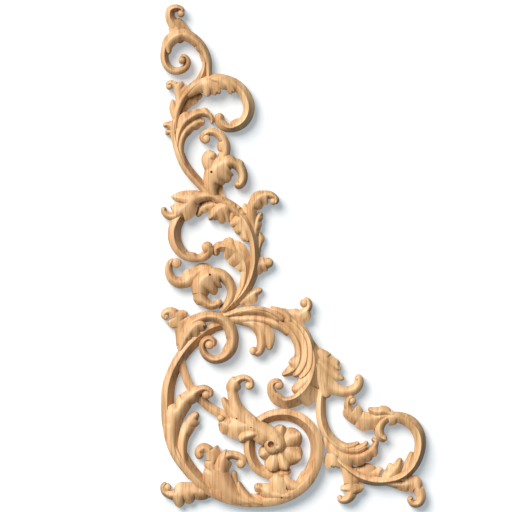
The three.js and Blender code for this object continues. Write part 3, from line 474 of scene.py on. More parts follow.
def third_scroll():
    """The third scroll: the long stem with the fan inside it, and the half ring with its leaf."""
    yield stem(
        [212, 195.4, 3.4, 0.7], [225, 202.4, 4.6, 0.82], [237, 210.6, 5, 0.86], [245.4, 219.8, 5.4, 0.9],
        [251, 230.4, 5.6, 0.92], [254.2, 242, 5.3, 0.92], [255.4, 253, 4.8, 0.92], [255.2, 263, 4.7, 0.9],
        [252.4, 276, 4.8, 0.86], [246, 289.6, 4.7, 0.8], [236, 301.4, 4.5, 0.72], [223, 311.6, 3.6, 0.62],
        ridge=0.1, edges=(0.36, 0.7), swell=(-0.9, 0.9),
    )
    yield stem(
        [235, 207, 3, 0.72], [225.4, 207, 5.6, 0.84], [217, 212, 5.6, 0.8], [208.8, 219.8, 1.4, 0.7],
        edges=(0.66, 0.8), left=lobes(0.5, 2.7, [228.6, 222], [222.6, 224.2], [215, 220.6], notch=0.12),
    )
    yield stem(
        [242, 212, 3, 0.76], [239.4, 221.6, 6, 0.86], [243, 231.6, 5.4, 0.86], [248.4, 242, 2, 0.84],
        edges=(0.8, 0.64), right=lobes(0.3, 2.8, [230, 225], [234.6, 231.8], [240.6, 238.6], notch=0.14),
    )
    yield stem([240, 207, 2.4, 0.6], [234, 212, 4.4, 0.66], [231.4, 218, 3.8, 0.62], [231.6, 223, 1.8, 0.56])
    yield stem(
        [226, 310.4, 3.4, 0.66], [237, 298.4, 4.4, 0.76], [243.6, 286, 4.7, 0.82], [246.2, 274, 5, 0.87],
        [245.4, 263, 6, 0.9], [240.4, 254.6, 7, 0.93], [231.8, 248.6, 6.8, 0.94], [222.6, 246.4, 5.2, 0.87],
        [216.6, 249, 4.4, 0.82], [216.4, 256, 2.6, 0.74],
        ridge=-0.06, edges=(0.7, 0.5), swell=(-1, -1), flute=0.4,
        left=lobes(3.2, 6.7, [238.4, 270.8], [229, 264.6], [224.6, 258], notch=0.1),
        right=lobes(4.2, 7.8, [237.4, 240.4], [228.4, 237.2], [219, 241.4], notch=0.04),
    )
    yield stem(
        [221, 199.4, 2.4, 0.6], [208, 199.2, 2.4, 0.62], [197, 201.6, 3.2, 0.66], [187.4, 208.6, 4.6, 0.7],
        [178.8, 218.4, 5.8, 0.74], [174, 230.5, 6.2, 0.8], [175.4, 243.5, 6, 0.82], [183.8, 254.6, 5, 0.8],
        [195, 258.8, 3.8, 0.78], [204.4, 256.6, 4.6, 0.8], [208.8, 250.6, 4.8, 0.84],
        [204.6, 242.4, 4.2, 0.84],
        **FALLS_LEFT, left=lobes(7, 8.2, [193, 252]),
    )
    yield eye(207.2, 247, 5.6, 0.84, drop=0.74)
    yield stem(
        [222, 200, 3, 0.68], [210, 196.2, 3.2, 0.76], [199.6, 196.8, 5.4, 0.82], [190, 202.6, 7, 0.86],
        [182, 210.8, 6, 0.82], [174, 216.2, 4.4, 0.76], [167.2, 215.2, 3.2, 0.72], [163.8, 210.8, 2.5, 0.7],
        [165, 207, 2, 0.68],
        edges=(0.76, 0.72), left=lobes(2.6, 4.2, [185.2, 221.6], notch=0.2),
        right=lobes(1.4, 5, [171, 196.4], [170.4, 206.4], notch=0.6),
    )
    yield stem(
        [222, 203.6, 4, 0.44], [211, 205.6, 5, 0.46], [202.6, 208.6, 4.6, 0.46], [197.2, 216.8, 1.6, 0.44],
        left=lobes(0.7, 2.3, [211.6, 211.2], [204, 214], notch=0.1),
    )


def third_scroll_right():
    """The leaves on the right of the third scroll."""
    yield stem(
        [256, 234, 2.4, 0.56], [251.6, 218, 4.4, 0.72], [252.6, 207, 5.6, 0.8], [258.2, 199.2, 6, 0.84],
        [266, 195, 4.4, 0.82], [273, 196, 3, 0.8], [276.6, 200.2, 2.2, 0.78], [275, 204, 1.8, 0.76],
        edges=(0.7, 0.76), left=lobes(2.5, 3.8, [262.6, 190.2], notch=0.1),
        right=lobes(1.9, 4.3, [261.4, 209], [267.4, 204.8], notch=0.22),
    )
    yield eye(273.6, 201.4, 3.6, 0.76)
    yield stem([250, 222, 3, 0.5], [246, 212.4, 3, 0.44], [244.4, 203.4, 1.8, 0.4], edges=(0.84, 0.84))
    yield stem(
        [254.4, 237, 2.4, 0.62], [256.4, 226, 4.6, 0.64], [258.8, 217.6, 4, 0.6], [261.6, 212.4, 1.6, 0.54],
        right=lobes(0.6, 2.5, [262, 225.4], [263.4, 218.4], notch=0.3),
    )
    yield stem(
        [255, 256, 2.4, 0.56], [260, 245, 3.8, 0.5], [260.4, 236.6, 3, 0.46], [258.8, 231.8, 1.6, 0.44],
        right=lobes(0.6, 2.3, [264.6, 240.6], notch=0.1),
    )
    yield stem(
        [252, 268, 5, 0.62], [260, 265.4, 6.6, 0.6], [267, 263.2, 5.4, 0.6], [273, 261.2, 4, 0.58],
        left=lobes(0.5, 1.8, [263.4, 256.8]), right=lobes(0.2, 1.8, [259.8, 274.8], [267.6, 271], notch=0.24),
    )
    yield eye(268.8, 262.2, 4, 0.64)
    yield stem(
        [240, 304, 3, 0.46], [249, 297, 4.2, 0.56], [257, 291.6, 3.6, 0.56], [262.4, 289.6, 1.8, 0.5],
        right=lobes(0.3, 1.8, [256.6, 302.2], notch=0.1),
    )


def rolled_leaf():
    """The small hook and the rolled leaf above the great scroll."""
    yield stem(
        [211, 270, 5, 0.6], [202.6, 270.4, 7.2, 0.64], [195, 275.4, 7.6, 0.68], [187, 281.4, 6, 0.72],
        [178.6, 282.6, 5.2, 0.72], [171.8, 278.4, 4.4, 0.72], [168.9, 271, 3.7, 0.72], [170, 263.6, 3, 0.72],
        [174.4, 259.4, 2.4, 0.72],
        edges=(0.72, 0.6), right=lobes(1.9, 4.3, [186.4, 269.4], [178.4, 276.6], notch=0.1),
    )
    yield eye(176.6, 263, 4.9, 0.74, drop=0.88)
    yield stem(
        [222, 311, 4, 0.66], [229.6, 301.4, 4.6, 0.76], [231.8, 290.6, 4.5, 0.82], [228, 281, 5.2, 0.88],
        [219.8, 274.8, 6, 0.92], [209.4, 275.6, 7.4, 0.96], [200.8, 283.4, 8.2, 0.96],
        [199.8, 294, 6.6, 0.92], [204.6, 301.8, 5, 0.88], [211.4, 305.4, 4.2, 0.84], [218, 303.4, 3.4, 0.8],
        [219.2, 299.4, 2.4, 0.78],
        edges=(0.5, 0.62), swell=(0.8, 0.8),
        left=lobes(3.8, 7, [222.4, 287.6], [216, 294.8], [207.4, 296.4], notch=0.24),
        right=lobes(6.9, 8, [193.4, 299.8]),
    )
    yield eye(218.4, 302.4, 3.8, 0.8)


def great_scroll():
    """The great scroll: its outer band, the loop inside its shoulder and the leaf outside it."""
    yield stem(
        [179, 346, 2.4, 0.45], [180, 331, 4.8, 0.56], [178.4, 320.4, 6.2, 0.62], [174.2, 313.6, 5.2, 0.64],
        [168.6, 311.2, 3.9, 0.64], [164.4, 313.8, 3.2, 0.64], [164.8, 318.6, 2.8, 0.62],
        left=lobes(1.3, 2.6, [166.4, 322.6], notch=0.3),
        right=lobes(0.8, 2.9, [192, 318], [187.2, 311.8], notch=0.3),
    )
    yield eye(165.6, 316.6, 3.2, 0.6)
    yield stem(
        [224, 324, 4.4, 0.4], [212, 327.6, 5.2, 0.54], [199.6, 335.4, 6.2, 0.64], [189, 345.6, 6.2, 0.72],
        [180.4, 357, 5.9, 0.78], [173, 370.6, 5.8, 0.82], [168.2, 386, 6.1, 0.84], [167, 402, 6.2, 0.84],
        [167.6, 418, 6.4, 0.84], [170.6, 433, 6.7, 0.84], [175.6, 447, 6.8, 0.84], [182.6, 459.4, 6.6, 0.84],
        [190, 470, 6.2, 0.82], [199, 480, 6, 0.8], [210.5, 489.6, 6, 0.76], [224, 496, 6.4, 0.7],
        [236, 499, 6, 0.64],
        **FALLS_LEFT,
    )
    yield stem(
        [181, 345, 5, 0.72], [186.6, 331, 6.6, 0.78], [195.6, 320.6, 6, 0.82], [208.6, 316.2, 5, 0.86],
        [220.6, 318.4, 5.4, 0.89], [229.2, 326.4, 6, 0.91], [232.4, 338, 6.1, 0.91],
        [230.2, 349.6, 5.8, 0.88], [223, 357.4, 4.6, 0.84], [214, 359.6, 3.8, 0.8], [206.4, 355.6, 3.6, 0.78],
        [202.4, 348, 3.3, 0.76], [203.8, 341.4, 3.2, 0.76], [209, 338.4, 2.9, 0.76],
        [213.8, 341.2, 2.7, 0.76], [213.4, 346.6, 2.2, 0.74],
        edges=(0.5, 0.5), swell=(0.9, 0.9), right=lobes(6, 7.6, [223.8, 346.4], notch=0.4),
    )
    yield eye(209.6, 344.8, 4.4, 0.8)
    yield stem(
        [180, 350, 3, 0.74], [185.6, 338, 5, 0.82], [192, 329, 6.4, 0.9], [199.6, 324, 5, 0.92],
        [206, 325.2, 1.4, 0.86],
        edges=(0.7, 0.76), right=lobes(0.9, 3.7, [188.4, 341], [197, 336], [204.4, 329.6], notch=0.16),
    )


def flower_ring():
    """The ring round the flower, which is the great scroll wound in, and the leaves across its foot."""
    yield stem(
        [226, 497, 6.4, 0.68], [241, 500.2, 6.4, 0.68], [258, 500.8, 6.4, 0.7], [275, 498.6, 7, 0.72],
        [291, 492.4, 7.4, 0.76], [304.4, 482.6, 7.2, 0.8], [313.2, 469, 6.8, 0.82], [317.5, 453, 6.2, 0.82],
        [315.6, 437, 6.1, 0.8], [307.6, 424.4, 6, 0.76], [296, 416.4, 5.9, 0.72], [282, 413.9, 5.7, 0.7],
        [268, 416.5, 5.6, 0.68], [256.8, 424, 5.5, 0.62], [250.2, 435, 5.5, 0.62], [248.8, 449, 5.5, 0.62],
        [251.6, 460, 5.4, 0.62], [258, 468.8, 5.2, 0.6], [268, 474, 5, 0.56], [279, 474.2, 4.4, 0.52],
        [291, 470, 3, 0.46],
        **FALLS_LEFT, left=lobes(4.3, 5.6, [298.2, 477], notch=0.3),
    )
    yield stem(
        [300, 491.6, 2.4, 0.64], [288, 495.4, 4.4, 0.76], [276, 494.6, 5.6, 0.78], [266, 490.6, 6, 0.76],
        [258.4, 487, 4.4, 0.68], [254, 485.6, 1.8, 0.6],
        edges=(0.7, 0.8), left=lobes(3.4, 4.8, [255.4, 491.4], notch=0.2),
        right=lobes(2.2, 4.4, [266.4, 483.4], [258.6, 482.8], notch=0.06),
    )
    yield stem(
        [292, 497.6, 2.4, 0.64], [281, 492, 6.6, 0.77], [277, 482, 8, 0.76], [277, 474.6, 6.4, 0.7],
        edges=(0.66, 0.9), end=0.9,
    )
    yield stem(
        [306, 485, 3.4, 0.6], [296, 487.4, 5.8, 0.76], [287.4, 482.6, 5.6, 0.72], [284, 475, 3.4, 0.62],
        edges=(0.62, 0.84),
    )
    yield stem(
        [262, 503, 2, 0.7], [249.6, 499, 4.2, 0.72], [242.4, 491, 4, 0.66], [238.4, 481.4, 1.6, 0.58],
        edges=(0.84, 0.6),
    )


def left_leaf():
    """The great leaf on the left, turned over at its top, and the thin branch behind it."""
    yield stem(
        [190, 478, 1.2, 0.74], [177, 457, 3.8, 0.86], [172.4, 441, 6.2, 0.91], [171.9, 426, 8.4, 0.95],
        [176.4, 412.6, 9.4, 0.98], [184, 402.4, 8.4, 0.98], [191.6, 395.4, 6.6, 0.97],
        [199, 389.9, 4.2, 0.94], [205.2, 388.4, 3.3, 0.93], [210.2, 391.4, 2.8, 0.92], [210.4, 397, 2.2, 0.9],
        edges=(0.8, 0.56), swell=(0.9, 0.9), left=lobes(3.1, 5.2, [170.2, 404.6], [179.2, 395], notch=0.3),
        right=lobes(5.2, 6.5, [194, 403.6], notch=0.1),
    )
    yield eye(206.8, 394.4, 4.6, 0.9)
    yield stem(
        [190, 474, 2, 0.78], [183.4, 457, 3.8, 0.8], [183, 441, 4.8, 0.76], [187.2, 428.6, 5.8, 0.7],
        [192.8, 419, 5.2, 0.62], [198, 412.4, 2.6, 0.54],
        edges=(0.84, 0.6), right=lobes(2.5, 4.2, [193.6, 431], [200, 423], notch=0.14),
    )
    yield stem(
        [181, 352, 3, 0.4], [183.6, 370, 3.8, 0.46], [189, 384, 4, 0.48], [196, 394, 4.2, 0.46],
        [203.8, 402, 4.3, 0.44], [213, 409.4, 4.4, 0.42], [224, 415, 4.4, 0.42], [234, 419, 4, 0.42],
        edges=(0.8, 0.8),
    )


def head_leaf():
    """The leaf in the middle of the great scroll, which rolls over into the flower's head."""
    yield stem(
        [254, 428, 8, 0.82], [243.6, 417, 7.4, 0.8], [236.4, 405.6, 5.6, 0.77], [233, 394.4, 5.3, 0.76],
        [233.8, 385, 5.2, 0.77], [238.6, 379.6, 3.9, 0.78], [245, 377.8, 2.9, 0.78],
        [250.4, 380.4, 2.5, 0.78], [251.6, 385.4, 2.3, 0.76], [249, 388.4, 1.8, 0.74],
        edges=(0.8, 0.6), left=lobes(3.3, 4.8, [232, 376.8], notch=0.3),
        right=lobes(3.3, 4.8, [240.6, 389], notch=0.3),
    )
    yield eye(249, 385.6, 3.9, 0.76)
    yield stem(
        [241, 420, 4, 0.72], [232.4, 411.6, 5.4, 0.68], [226.2, 403.6, 4, 0.62], [222.6, 397.2, 1.4, 0.56],
        edges=(0.84, 0.6),
    )
    yield stem(
        [256, 425, 8, 0.84], [245, 426, 9, 0.8], [234, 426.6, 9, 0.74], [225.6, 424.6, 6.6, 0.66],
        [219, 420.6, 3.4, 0.58],
        edges=(0.78, 0.78), left=lobes(1.4, 3.6, [231.4, 438.4], [222.4, 433.6], notch=0.12),
        right=lobes(1, 2.6, [229.4, 415.6], notch=0.1),
    )
    yield eye(220.8, 418, 3.5, 0.68)
    yield stem(
        [262, 433, 6, 0.86], [252.4, 434, 5.4, 0.9], [244.6, 436.8, 5.2, 0.86], [239.6, 441.8, 4, 0.74],
        edges=(0.4, 0.76), swell=(0.7, 0.7),
    )
    yield stem(
        [240, 412, 6, 0.74], [253, 425.6, 8.6, 0.88], [264, 432.8, 9.6, 0.97], [274, 438.6, 9.4, 1],
        [278.6, 445, 7.2, 0.99], [274.4, 449.4, 5, 0.97],
        edges=(0.62, 0.7), swell=(0.75, 0.75), right=lobes(1.3, 2.5, [257.4, 443.2], notch=0.2),
    )
    yield eye(272.6, 444.8, 8.6, 0.97, drop=0.72)


# The flower's petals: each one's turn round the flower in degrees, its reach, its half width and its height
FLOWER = (277, 447)
FLOWER_ROOT = 0.56  # height of the petals where they meet
FLOWER_PETALS = (
    (12, 23, 7.6, 0.74), (60, 27.6, 11.6, 0.8), (115, 27.2, 11.6, 0.77), (157, 25, 7.2, 0.82),
    (194, 25, 8.6, 0.76), (244, 20, 7.4, 0.71),
)


def flower():
    """The flower: petals of their own reach round its head."""
    x, y = FLOWER
    for turn, reach, width, height in FLOWER_PETALS:
        angle = math.radians(turn)
        tip = (x + reach * math.sin(angle), y - reach * math.cos(angle), width, height)
        yield petal((x, y, FLOWER_ROOT), tip, edges=(0.26, 0.26), swell=(0.6, 0.6))


def foot_spray():
    """The spray of two curls that rises from the great scroll's foot, and the leaf at its outer corner."""
    yield stem(
        [229, 498, 3.4, 0.68], [217, 484, 7.8, 0.76], [212, 468.6, 6, 0.76], [211.8, 457.4, 4.8, 0.74],
        [209, 450, 4.4, 0.74], [203.6, 447.6, 4.4, 0.74], [199, 451.4, 4.1, 0.74], [201.2, 458.6, 3.8, 0.72],
        edges=(0.8, 0.6), left=lobes(0.8, 2.7, [203.4, 470.4], [204.6, 461.4], notch=0.16),
        right=lobes(2.4, 3.9, [217.6, 445], notch=0.16),
    )
    yield stem(
        [250, 502, 2.4, 0.7], [236.6, 497, 5.8, 0.78], [226.4, 486, 8.2, 0.85], [221.4, 472.6, 7.8, 0.88],
        [222.4, 460.4, 5.8, 0.88], [228.6, 455, 4.2, 0.85], [236.4, 455.4, 3.8, 0.8], [242, 459, 3.8, 0.78],
        [242.4, 466.4, 3, 0.76],
        edges=(0.86, 0.66), left=lobes(3.3, 4.7, [226.4, 448.8], notch=0.16),
        right=lobes(3, 4.7, [232.2, 463.8], notch=0.3),
    )
    yield eye(240.8, 463.4, 4.6, 0.78)
    yield stem([246, 500, 3, 0.46], [238.6, 491, 3.2, 0.42], [234.8, 480.6, 3, 0.4], [234, 470.4, 2.8, 0.42])
    yield stem(
        [214, 492, 4, 0.62], [202, 491.6, 7.6, 0.68], [190, 492, 9, 0.72], [179, 494.4, 7, 0.72],
        [170.4, 494.6, 4, 0.7], [164.4, 491.4, 2.8, 0.68], [163, 486.4, 2.2, 0.66], [166, 482.6, 1.8, 0.64],
        edges=(0.6, 0.8), left=lobes(0.5, 3.7, [198.4, 500], [190.4, 503.8], [180, 507.6], notch=0.34),
        right=lobes(1.2, 3.5, [181, 481.8], notch=0.1),
    )
    yield eye(167.4, 487, 3.8, 0.66)


def arch():
    """The arch from the junction to the corner leaf, with the leaves that stand on it and hang from it."""
    yield stem(
        [216, 316, 3, 0.5], [228, 315, 3.4, 0.66], [240, 311.6, 3.8, 0.74], [254, 310.6, 4.2, 0.78],
        [268, 313, 4.6, 0.8], [281, 320.4, 5, 0.84],
        ridge=-0.1, edges=(0.7, 0.6),
    )
    yield stem(
        [226, 318, 4, 0.5], [240, 319.8, 4.4, 0.6], [254, 320, 4.6, 0.62], [268, 321.8, 4.2, 0.68],
        [281.4, 327.6, 3.8, 0.76], [289, 334.6, 3, 0.8],
        ridge=-0.2, edges=(0.78, 0.6),
    )
    yield stem(
        [238, 313.6, 1.6, 0.7], [252, 309.6, 2, 0.8], [266, 310.6, 2.2, 0.86], [276, 315.4, 2.8, 0.9],
        [283.6, 320.6, 2.8, 0.92],
        edges=(0.8, 0.8), swell=(-1, -1),
    )
    yield stem(
        [270, 309, 3, 0.72], [280, 311.6, 3.6, 0.78], [287.6, 316.6, 3.4, 0.84], [290.6, 322.4, 2.6, 0.88],
        edges=(0.76, 0.76),
    )
    yield stem(
        [240, 321, 3.6, 0.5], [252, 324, 4.6, 0.6], [260, 333, 4.6, 0.66], [261.6, 344, 4.6, 0.7],
        [258.8, 351.6, 4, 0.68], [253.6, 353.4, 3, 0.66],
        edges=(0.78, 0.6),
    )
    yield stem(
        [248, 321, 3.6, 0.56], [262, 326, 4.6, 0.62], [269.4, 335, 5, 0.62], [269.4, 344, 4.4, 0.6],
        [269.6, 350, 1.6, 0.54],
        edges=(0.76, 0.8),
    )
    yield eye(253.6, 350.6, 4.1, 0.7)
    yield stem(
        [280, 313, 5, 0.64], [290, 315.4, 5.8, 0.62], [299.6, 314.8, 5, 0.66], [306.4, 310.6, 3.6, 0.7],
        [309.4, 305, 2.6, 0.72], [308, 300.4, 2.2, 0.72], [303.8, 299, 2, 0.72],
        edges=(0.84, 0.76), left=lobes(0.5, 2.1, [295.2, 308.4], notch=0.4),
        right=lobes(1, 3.2, [309.6, 320.4], notch=0.3),
    )
    yield eye(303.6, 303, 3.9, 0.74)


def corner_leaf():
    """The corner leaf: pipes down to its lobes, the scroll at its foot and the leaf to its right."""
    yield stem(
        [279, 321.5, 3.6, 0.78], [288, 328.6, 3.8, 0.84], [294.6, 337.4, 3.9, 0.86], [298.4, 348, 3.7, 0.86],
        [298.4, 358, 4.4, 0.84], [294.6, 367, 5.6, 0.78], [287.4, 372.4, 4, 0.7], [281.8, 374.8, 1.2, 0.64],
        **PIPE, right=lobes(3.9, 5.2, [288.4, 361.2], notch=0.3),
    )
    yield stem(
        [285, 318.5, 3.6, 0.78], [296, 327.6, 4, 0.88], [303.6, 339.4, 4, 0.92], [305.8, 352, 4, 0.92],
        [304, 363, 4.6, 0.88], [298.6, 371.6, 4.8, 0.8], [293, 376, 2, 0.72],
        **PIPE,
    )
    yield stem(
        [290, 318, 3.4, 0.76], [302.6, 329, 3.8, 0.88], [309.6, 342, 3.8, 0.95], [311.2, 356, 3.9, 0.97],
        [309, 367, 4.4, 0.92], [304, 374.4, 3.6, 0.84], [299, 378.4, 1.4, 0.76],
        **PIPE,
    )
    yield stem(
        [314, 364, 4, 0.9], [311, 375, 6, 0.88], [303.6, 383.6, 6.6, 0.84], [296.6, 388.6, 5.2, 0.76],
        [291.6, 390, 2.4, 0.7],
        edges=(0.78, 0.78),
    )
    yield stem(
        [298, 323, 2, 0.7], [306.6, 334.6, 2.6, 0.82], [311.4, 343, 3.2, 0.88], [315.6, 351.6, 4.6, 0.94],
        [317.2, 361, 5.6, 0.98], [316.4, 372, 6.4, 1], [312.4, 384, 6.8, 0.96], [305, 393.6, 6.4, 0.9],
        [295, 400.6, 5.6, 0.86], [284.6, 402.6, 5.4, 0.83], [276, 398.6, 5.2, 0.8], [271.4, 391, 4.1, 0.78],
        [271, 385, 3.1, 0.78], [273.8, 381.4, 2.5, 0.78], [278, 380.8, 2.1, 0.78], [281.4, 382.6, 1.8, 0.76],
        ridge=0.45, edges=(0.5, 0.82), swell=(-1, 1), left=lobes(6.1, 7.6, [309.6, 406], notch=0.3),
        right=lobes(9, 10.6, [279.4, 392.4], notch=0.3),
    )
    yield eye(279, 385, 4.4, 0.78)
    yield stem(
        [318, 350, 3, 0.76], [326.4, 358, 6, 0.74], [334.6, 364.6, 4.6, 0.68], [340.6, 369.6, 1.4, 0.62],
        edges=(0.8, 0.8), left=lobes(1, 2.4, [336.8, 358.4], notch=0.1),
    )
    yield stem(
        [318, 360, 4, 0.82], [329, 370.6, 6, 0.74], [337.6, 376.6, 3.8, 0.66], [344, 378.8, 1.8, 0.6],
        edges=(0.7, 0.84),
    )
    yield stem(
        [316, 364, 5, 0.9], [322, 376.6, 7.4, 0.82], [331.6, 386.8, 6.4, 0.74], [342.6, 391.4, 4.9, 0.7],
        [351.6, 390.6, 5, 0.72], [357.8, 385.4, 4.6, 0.74], [358.6, 379, 4.2, 0.74], [355, 376.6, 4.3, 0.72],
        edges=(0.8, 0.74),
    )
    yield stem(
        [320, 372, 5, 0.86], [324.4, 384, 5.8, 0.74], [326.2, 392.4, 5.2, 0.66], [326.6, 398.2, 3.4, 0.6],
        edges=(0.8, 0.8),
    )


def lower_branch():
    """The right branch: its stem, its fan, the leaf that curls up to the corner leaf, and its foot leaves."""
    yield stem(
        [323, 386, 4.5, 0.5], [321, 404, 4.5, 0.62], [321.6, 419, 4.8, 0.7], [326.4, 432.6, 5, 0.76],
        [335, 442.6, 5, 0.8], [346, 448.4, 5, 0.82], [357, 449.6, 4.6, 0.81], [367, 445.4, 2.4, 0.76],
        ridge=0.1, edges=(0.46, 0.7), swell=(-0.9, 0.9),
    )
    yield stem(
        [338, 445, 2, 0.7], [347, 446.6, 3.4, 0.74], [353.6, 445.2, 2.8, 0.72], [358.8, 442, 1, 0.66],
        edges=(0.8, 0.8),
    )
    yield stem(
        [349, 449, 2, 0.76], [357.4, 448.4, 3.2, 0.79], [363.4, 445.6, 2.6, 0.76], [367.4, 441.2, 1, 0.68],
        edges=(0.8, 0.8),
    )
    yield stem(
        [324.6, 437, 3, 0.66], [331.6, 449, 4.8, 0.76], [342.4, 456.4, 6, 0.82], [355.4, 457.8, 6, 0.84],
        [366.6, 454, 4.8, 0.82], [374, 447, 3.4, 0.8], [375.4, 441.4, 2.5, 0.78], [371.8, 438.4, 1.8, 0.74],
        ridge=-0.2, edges=(0.56, 0.7), swell=(-0.9, 0.9),
        right=lobes(1.7, 5.2, [350.6, 466.6], [362, 464.6], [369.4, 461], [376, 456], notch=0.12),
    )
    yield stem(
        [331, 442, 4, 0.7], [334, 452, 6.4, 0.72], [334, 461, 5.6, 0.68], [332.4, 467.4, 3, 0.62],
        left=lobes(1, 2.8, [340.6, 468], notch=0.1), right=lobes(0.9, 2.8, [326.4, 469.6], notch=0.1),
    )
    yield stem(
        [336, 458.6, 2.4, 0.66], [347, 468.6, 3.5, 0.78], [360, 476.8, 4.4, 0.84], [374, 480.8, 4.4, 0.86],
        [388, 480.6, 4, 0.86], [400.6, 477, 3.9, 0.88], [410.6, 469, 4.6, 0.9], [417.4, 457.4, 5, 0.91],
        [420.2, 444, 5.3, 0.91], [417.8, 431.6, 5.7, 0.9], [409.6, 421.6, 6, 0.88], [398.4, 417.2, 5.2, 0.84],
        [387.4, 417.6, 4.2, 0.82], [381, 423.4, 4.3, 0.82], [378.8, 430.6, 4.5, 0.82],
        [381.2, 436.8, 4.2, 0.8], [386.8, 439.4, 3.4, 0.78],
        ridge=0.12, edges=(0.7, 0.46), swell=(0.9, -0.9), left=lobes(11.1, 12, [388.8, 425.4], notch=0.2),
    )
    yield stem(
        [394, 413.4, 2.6, 0.64], [381, 416.4, 4.6, 0.7], [369, 419, 6.6, 0.74], [357.6, 417.6, 6.8, 0.78],
        [349.8, 411.4, 5, 0.8], [347.4, 404, 3.2, 0.8], [349.4, 398.2, 2.2, 0.78], [353.4, 396.8, 1.8, 0.76],
        edges=(0.74, 0.7), flute=0.6,
        left=lobes(1.2, 3, [361.6, 430.6], notch=0.1) + lobes(3, 4.5, [343.2, 416], notch=0.1),
        right=lobes(2.7, 3.9, [357.4, 403.6]),
    )
    yield stem(
        [393, 414.6, 2, 0.72], [384.6, 411, 3.6, 0.8], [376, 411.4, 4.2, 0.8], [368, 408.6, 1.4, 0.7],
        edges=(0.8, 0.8), right=lobes(0.4, 1.6, [380.6, 405.6], notch=0.1),
    )
    yield eye(352.2, 400.6, 3.7, 0.8)
    yield stem(
        [345, 468, 2.4, 0.44], [357, 472, 5, 0.46], [370, 473.6, 5.6, 0.46], [380.6, 472.4, 3, 0.42],
        left=lobes(0.9, 3, [372.8, 464.6], [382.6, 468], notch=0.16),
    )
    yield stem(
        [385, 483, 4, 0.7], [390.6, 474.6, 5.8, 0.71], [397.2, 466.4, 4.6, 0.72], [400.6, 457.8, 1.6, 0.66],
        left=lobes(0.2, 2, [382.8, 472.4], [388.6, 463.4], notch=0.12),
    )
    yield stem(
        [402, 480, 3, 0.7], [407, 468, 4.2, 0.66], [410, 459, 3.6, 0.64], [411.6, 451.4, 1.6, 0.6],
        edges=(0.8, 0.8),
    )
    yield stem(
        [343, 463, 2.8, 0.64], [347.4, 473.6, 5, 0.68], [350.8, 484, 6.6, 0.72], [350.8, 493.4, 5.6, 0.74],
        [346.2, 499.4, 3.8, 0.74], [340.6, 499.2, 2.9, 0.72], [339.4, 495, 2.2, 0.68],
        left=lobes(0.9, 2.9, [358.6, 479], [364, 487.4], notch=0.2),
        right=lobes(1.9, 2.75, [339.8, 489], notch=0.2),
    )
    yield stem(
        [386, 483, 2, 0.62], [400, 484.6, 4.4, 0.66], [411, 484.4, 6, 0.7], [418, 489, 5.2, 0.73],
        [420.9, 496.6, 4.6, 0.74], [418.4, 502.8, 3.6, 0.74], [412.8, 503.4, 3, 0.72],
        [409.9, 499.4, 2.5, 0.7], [412.4, 496.4, 1.9, 0.68],
        left=lobes(1.1, 3, [416.8, 475.6], notch=0.2),
        right=lobes(0.8, 2.7, [404.6, 491.4], [411.8, 493], notch=0.16),
    )


GROUPS = (
    first_scroll, second_scroll, left_stem, middle_leaf, third_scroll, third_scroll_right, rolled_leaf,
    great_scroll, flower_ring, left_leaf, head_leaf, flower, foot_spray, arch, corner_leaf, lower_branch,
)

# The board that is sawn off behind: its size against the onlay's, and its squares across and up
BOARD_SPARE = 1.1
BOARD_SQUARES = (30, 56)

# The drilled holes: the hollow of the flower's head and the small eyes where two lobes part, [x, y, radius]
DRILLED_EYES = (
    [211.5, 172.2, 1.2], [210, 274.6, 1.1], [270.8, 443.8, 3.3], [236.6, 418.2, 0.9], [251, 427, 0.7],
    [281.6, 497.2, 0.9],
)


def drilled_eye(spot, sizes):
    """The wood that a bit takes out, from in front of the onlay down to its depth over the back."""
    x, y, radius = spot
    bm = bmesh.new()
    bmesh.ops.create_cone(bm, cap_ends=True, segments=BIT_SIDES, radius1=radius * UNIT,
                          radius2=radius * UNIT, depth=sizes.relief)
    bmesh.ops.rotate(bm, verts=bm.verts, cent=(0, 0, 0), matrix=Matrix.Rotation(math.pi / 2, 3, "X"))
    middle = to_frame(Vector((x, y)), sizes.relief * 1.5 - sizes.drill_depth)
    bmesh.ops.translate(bm, verts=bm.verts, vec=middle)
    return object_of(bm, "bit")


def sawn_off(sizes):
    """The board that is sawn off behind the back. Its face is in small squares, so that the back comes out in
    small faces too and none of them runs round a gap between the stems."""
    low, high = CAD_BOX
    middle, size = (low + high) / 2, (high - low) * BOARD_SPARE
    bm = bmesh.new()
    bmesh.ops.create_grid(bm, x_segments=BOARD_SQUARES[0], y_segments=BOARD_SQUARES[1], size=0.5)
    bmesh.ops.scale(bm, verts=bm.verts, vec=(size.x, size.z, 1))
    bmesh.ops.rotate(bm, verts=bm.verts, cent=(0, 0, 0), matrix=Matrix.Rotation(math.pi / 2, 3, "X"))
    bmesh.ops.translate(bm, verts=bm.verts, vec=(middle.x, BACK, middle.z))
    pulled = bmesh.ops.extrude_face_region(bm, geom=bm.faces[:])
    behind = [item for item in pulled["geom"] if isinstance(item, bmesh.types.BMVert)]
    bmesh.ops.translate(bm, verts=behind, vec=(0, sizes.relief, 0))
    return object_of(bm, "board")


def cut_mesh(first, others, operation, name):
    """The mesh of one solid joined with others, or with others taken out of it. The solids are used up."""
    group = bpy.data.collections.new("others")
    for other in others:
        group.objects.link(other)
    change = first.modifiers.new(operation.title(), "BOOLEAN")
    change.operation = operation
    change.solver = "MANIFOLD"
    change.operand_type = "COLLECTION"
    change.collection = group
    shaped = first.evaluated_get(bpy.context.evaluated_depsgraph_get())
    mesh = bpy.data.meshes.new_from_object(shaped)
    mesh.name = name
    bpy.data.collections.remove(group)
    for item in (first, *others):
        solid = item.data
        bpy.data.objects.remove(item)
        bpy.data.meshes.remove(solid)
    if not mesh.polygons:
        raise RuntimeError(f"{name}: the {operation.lower()} left nothing")
    return mesh


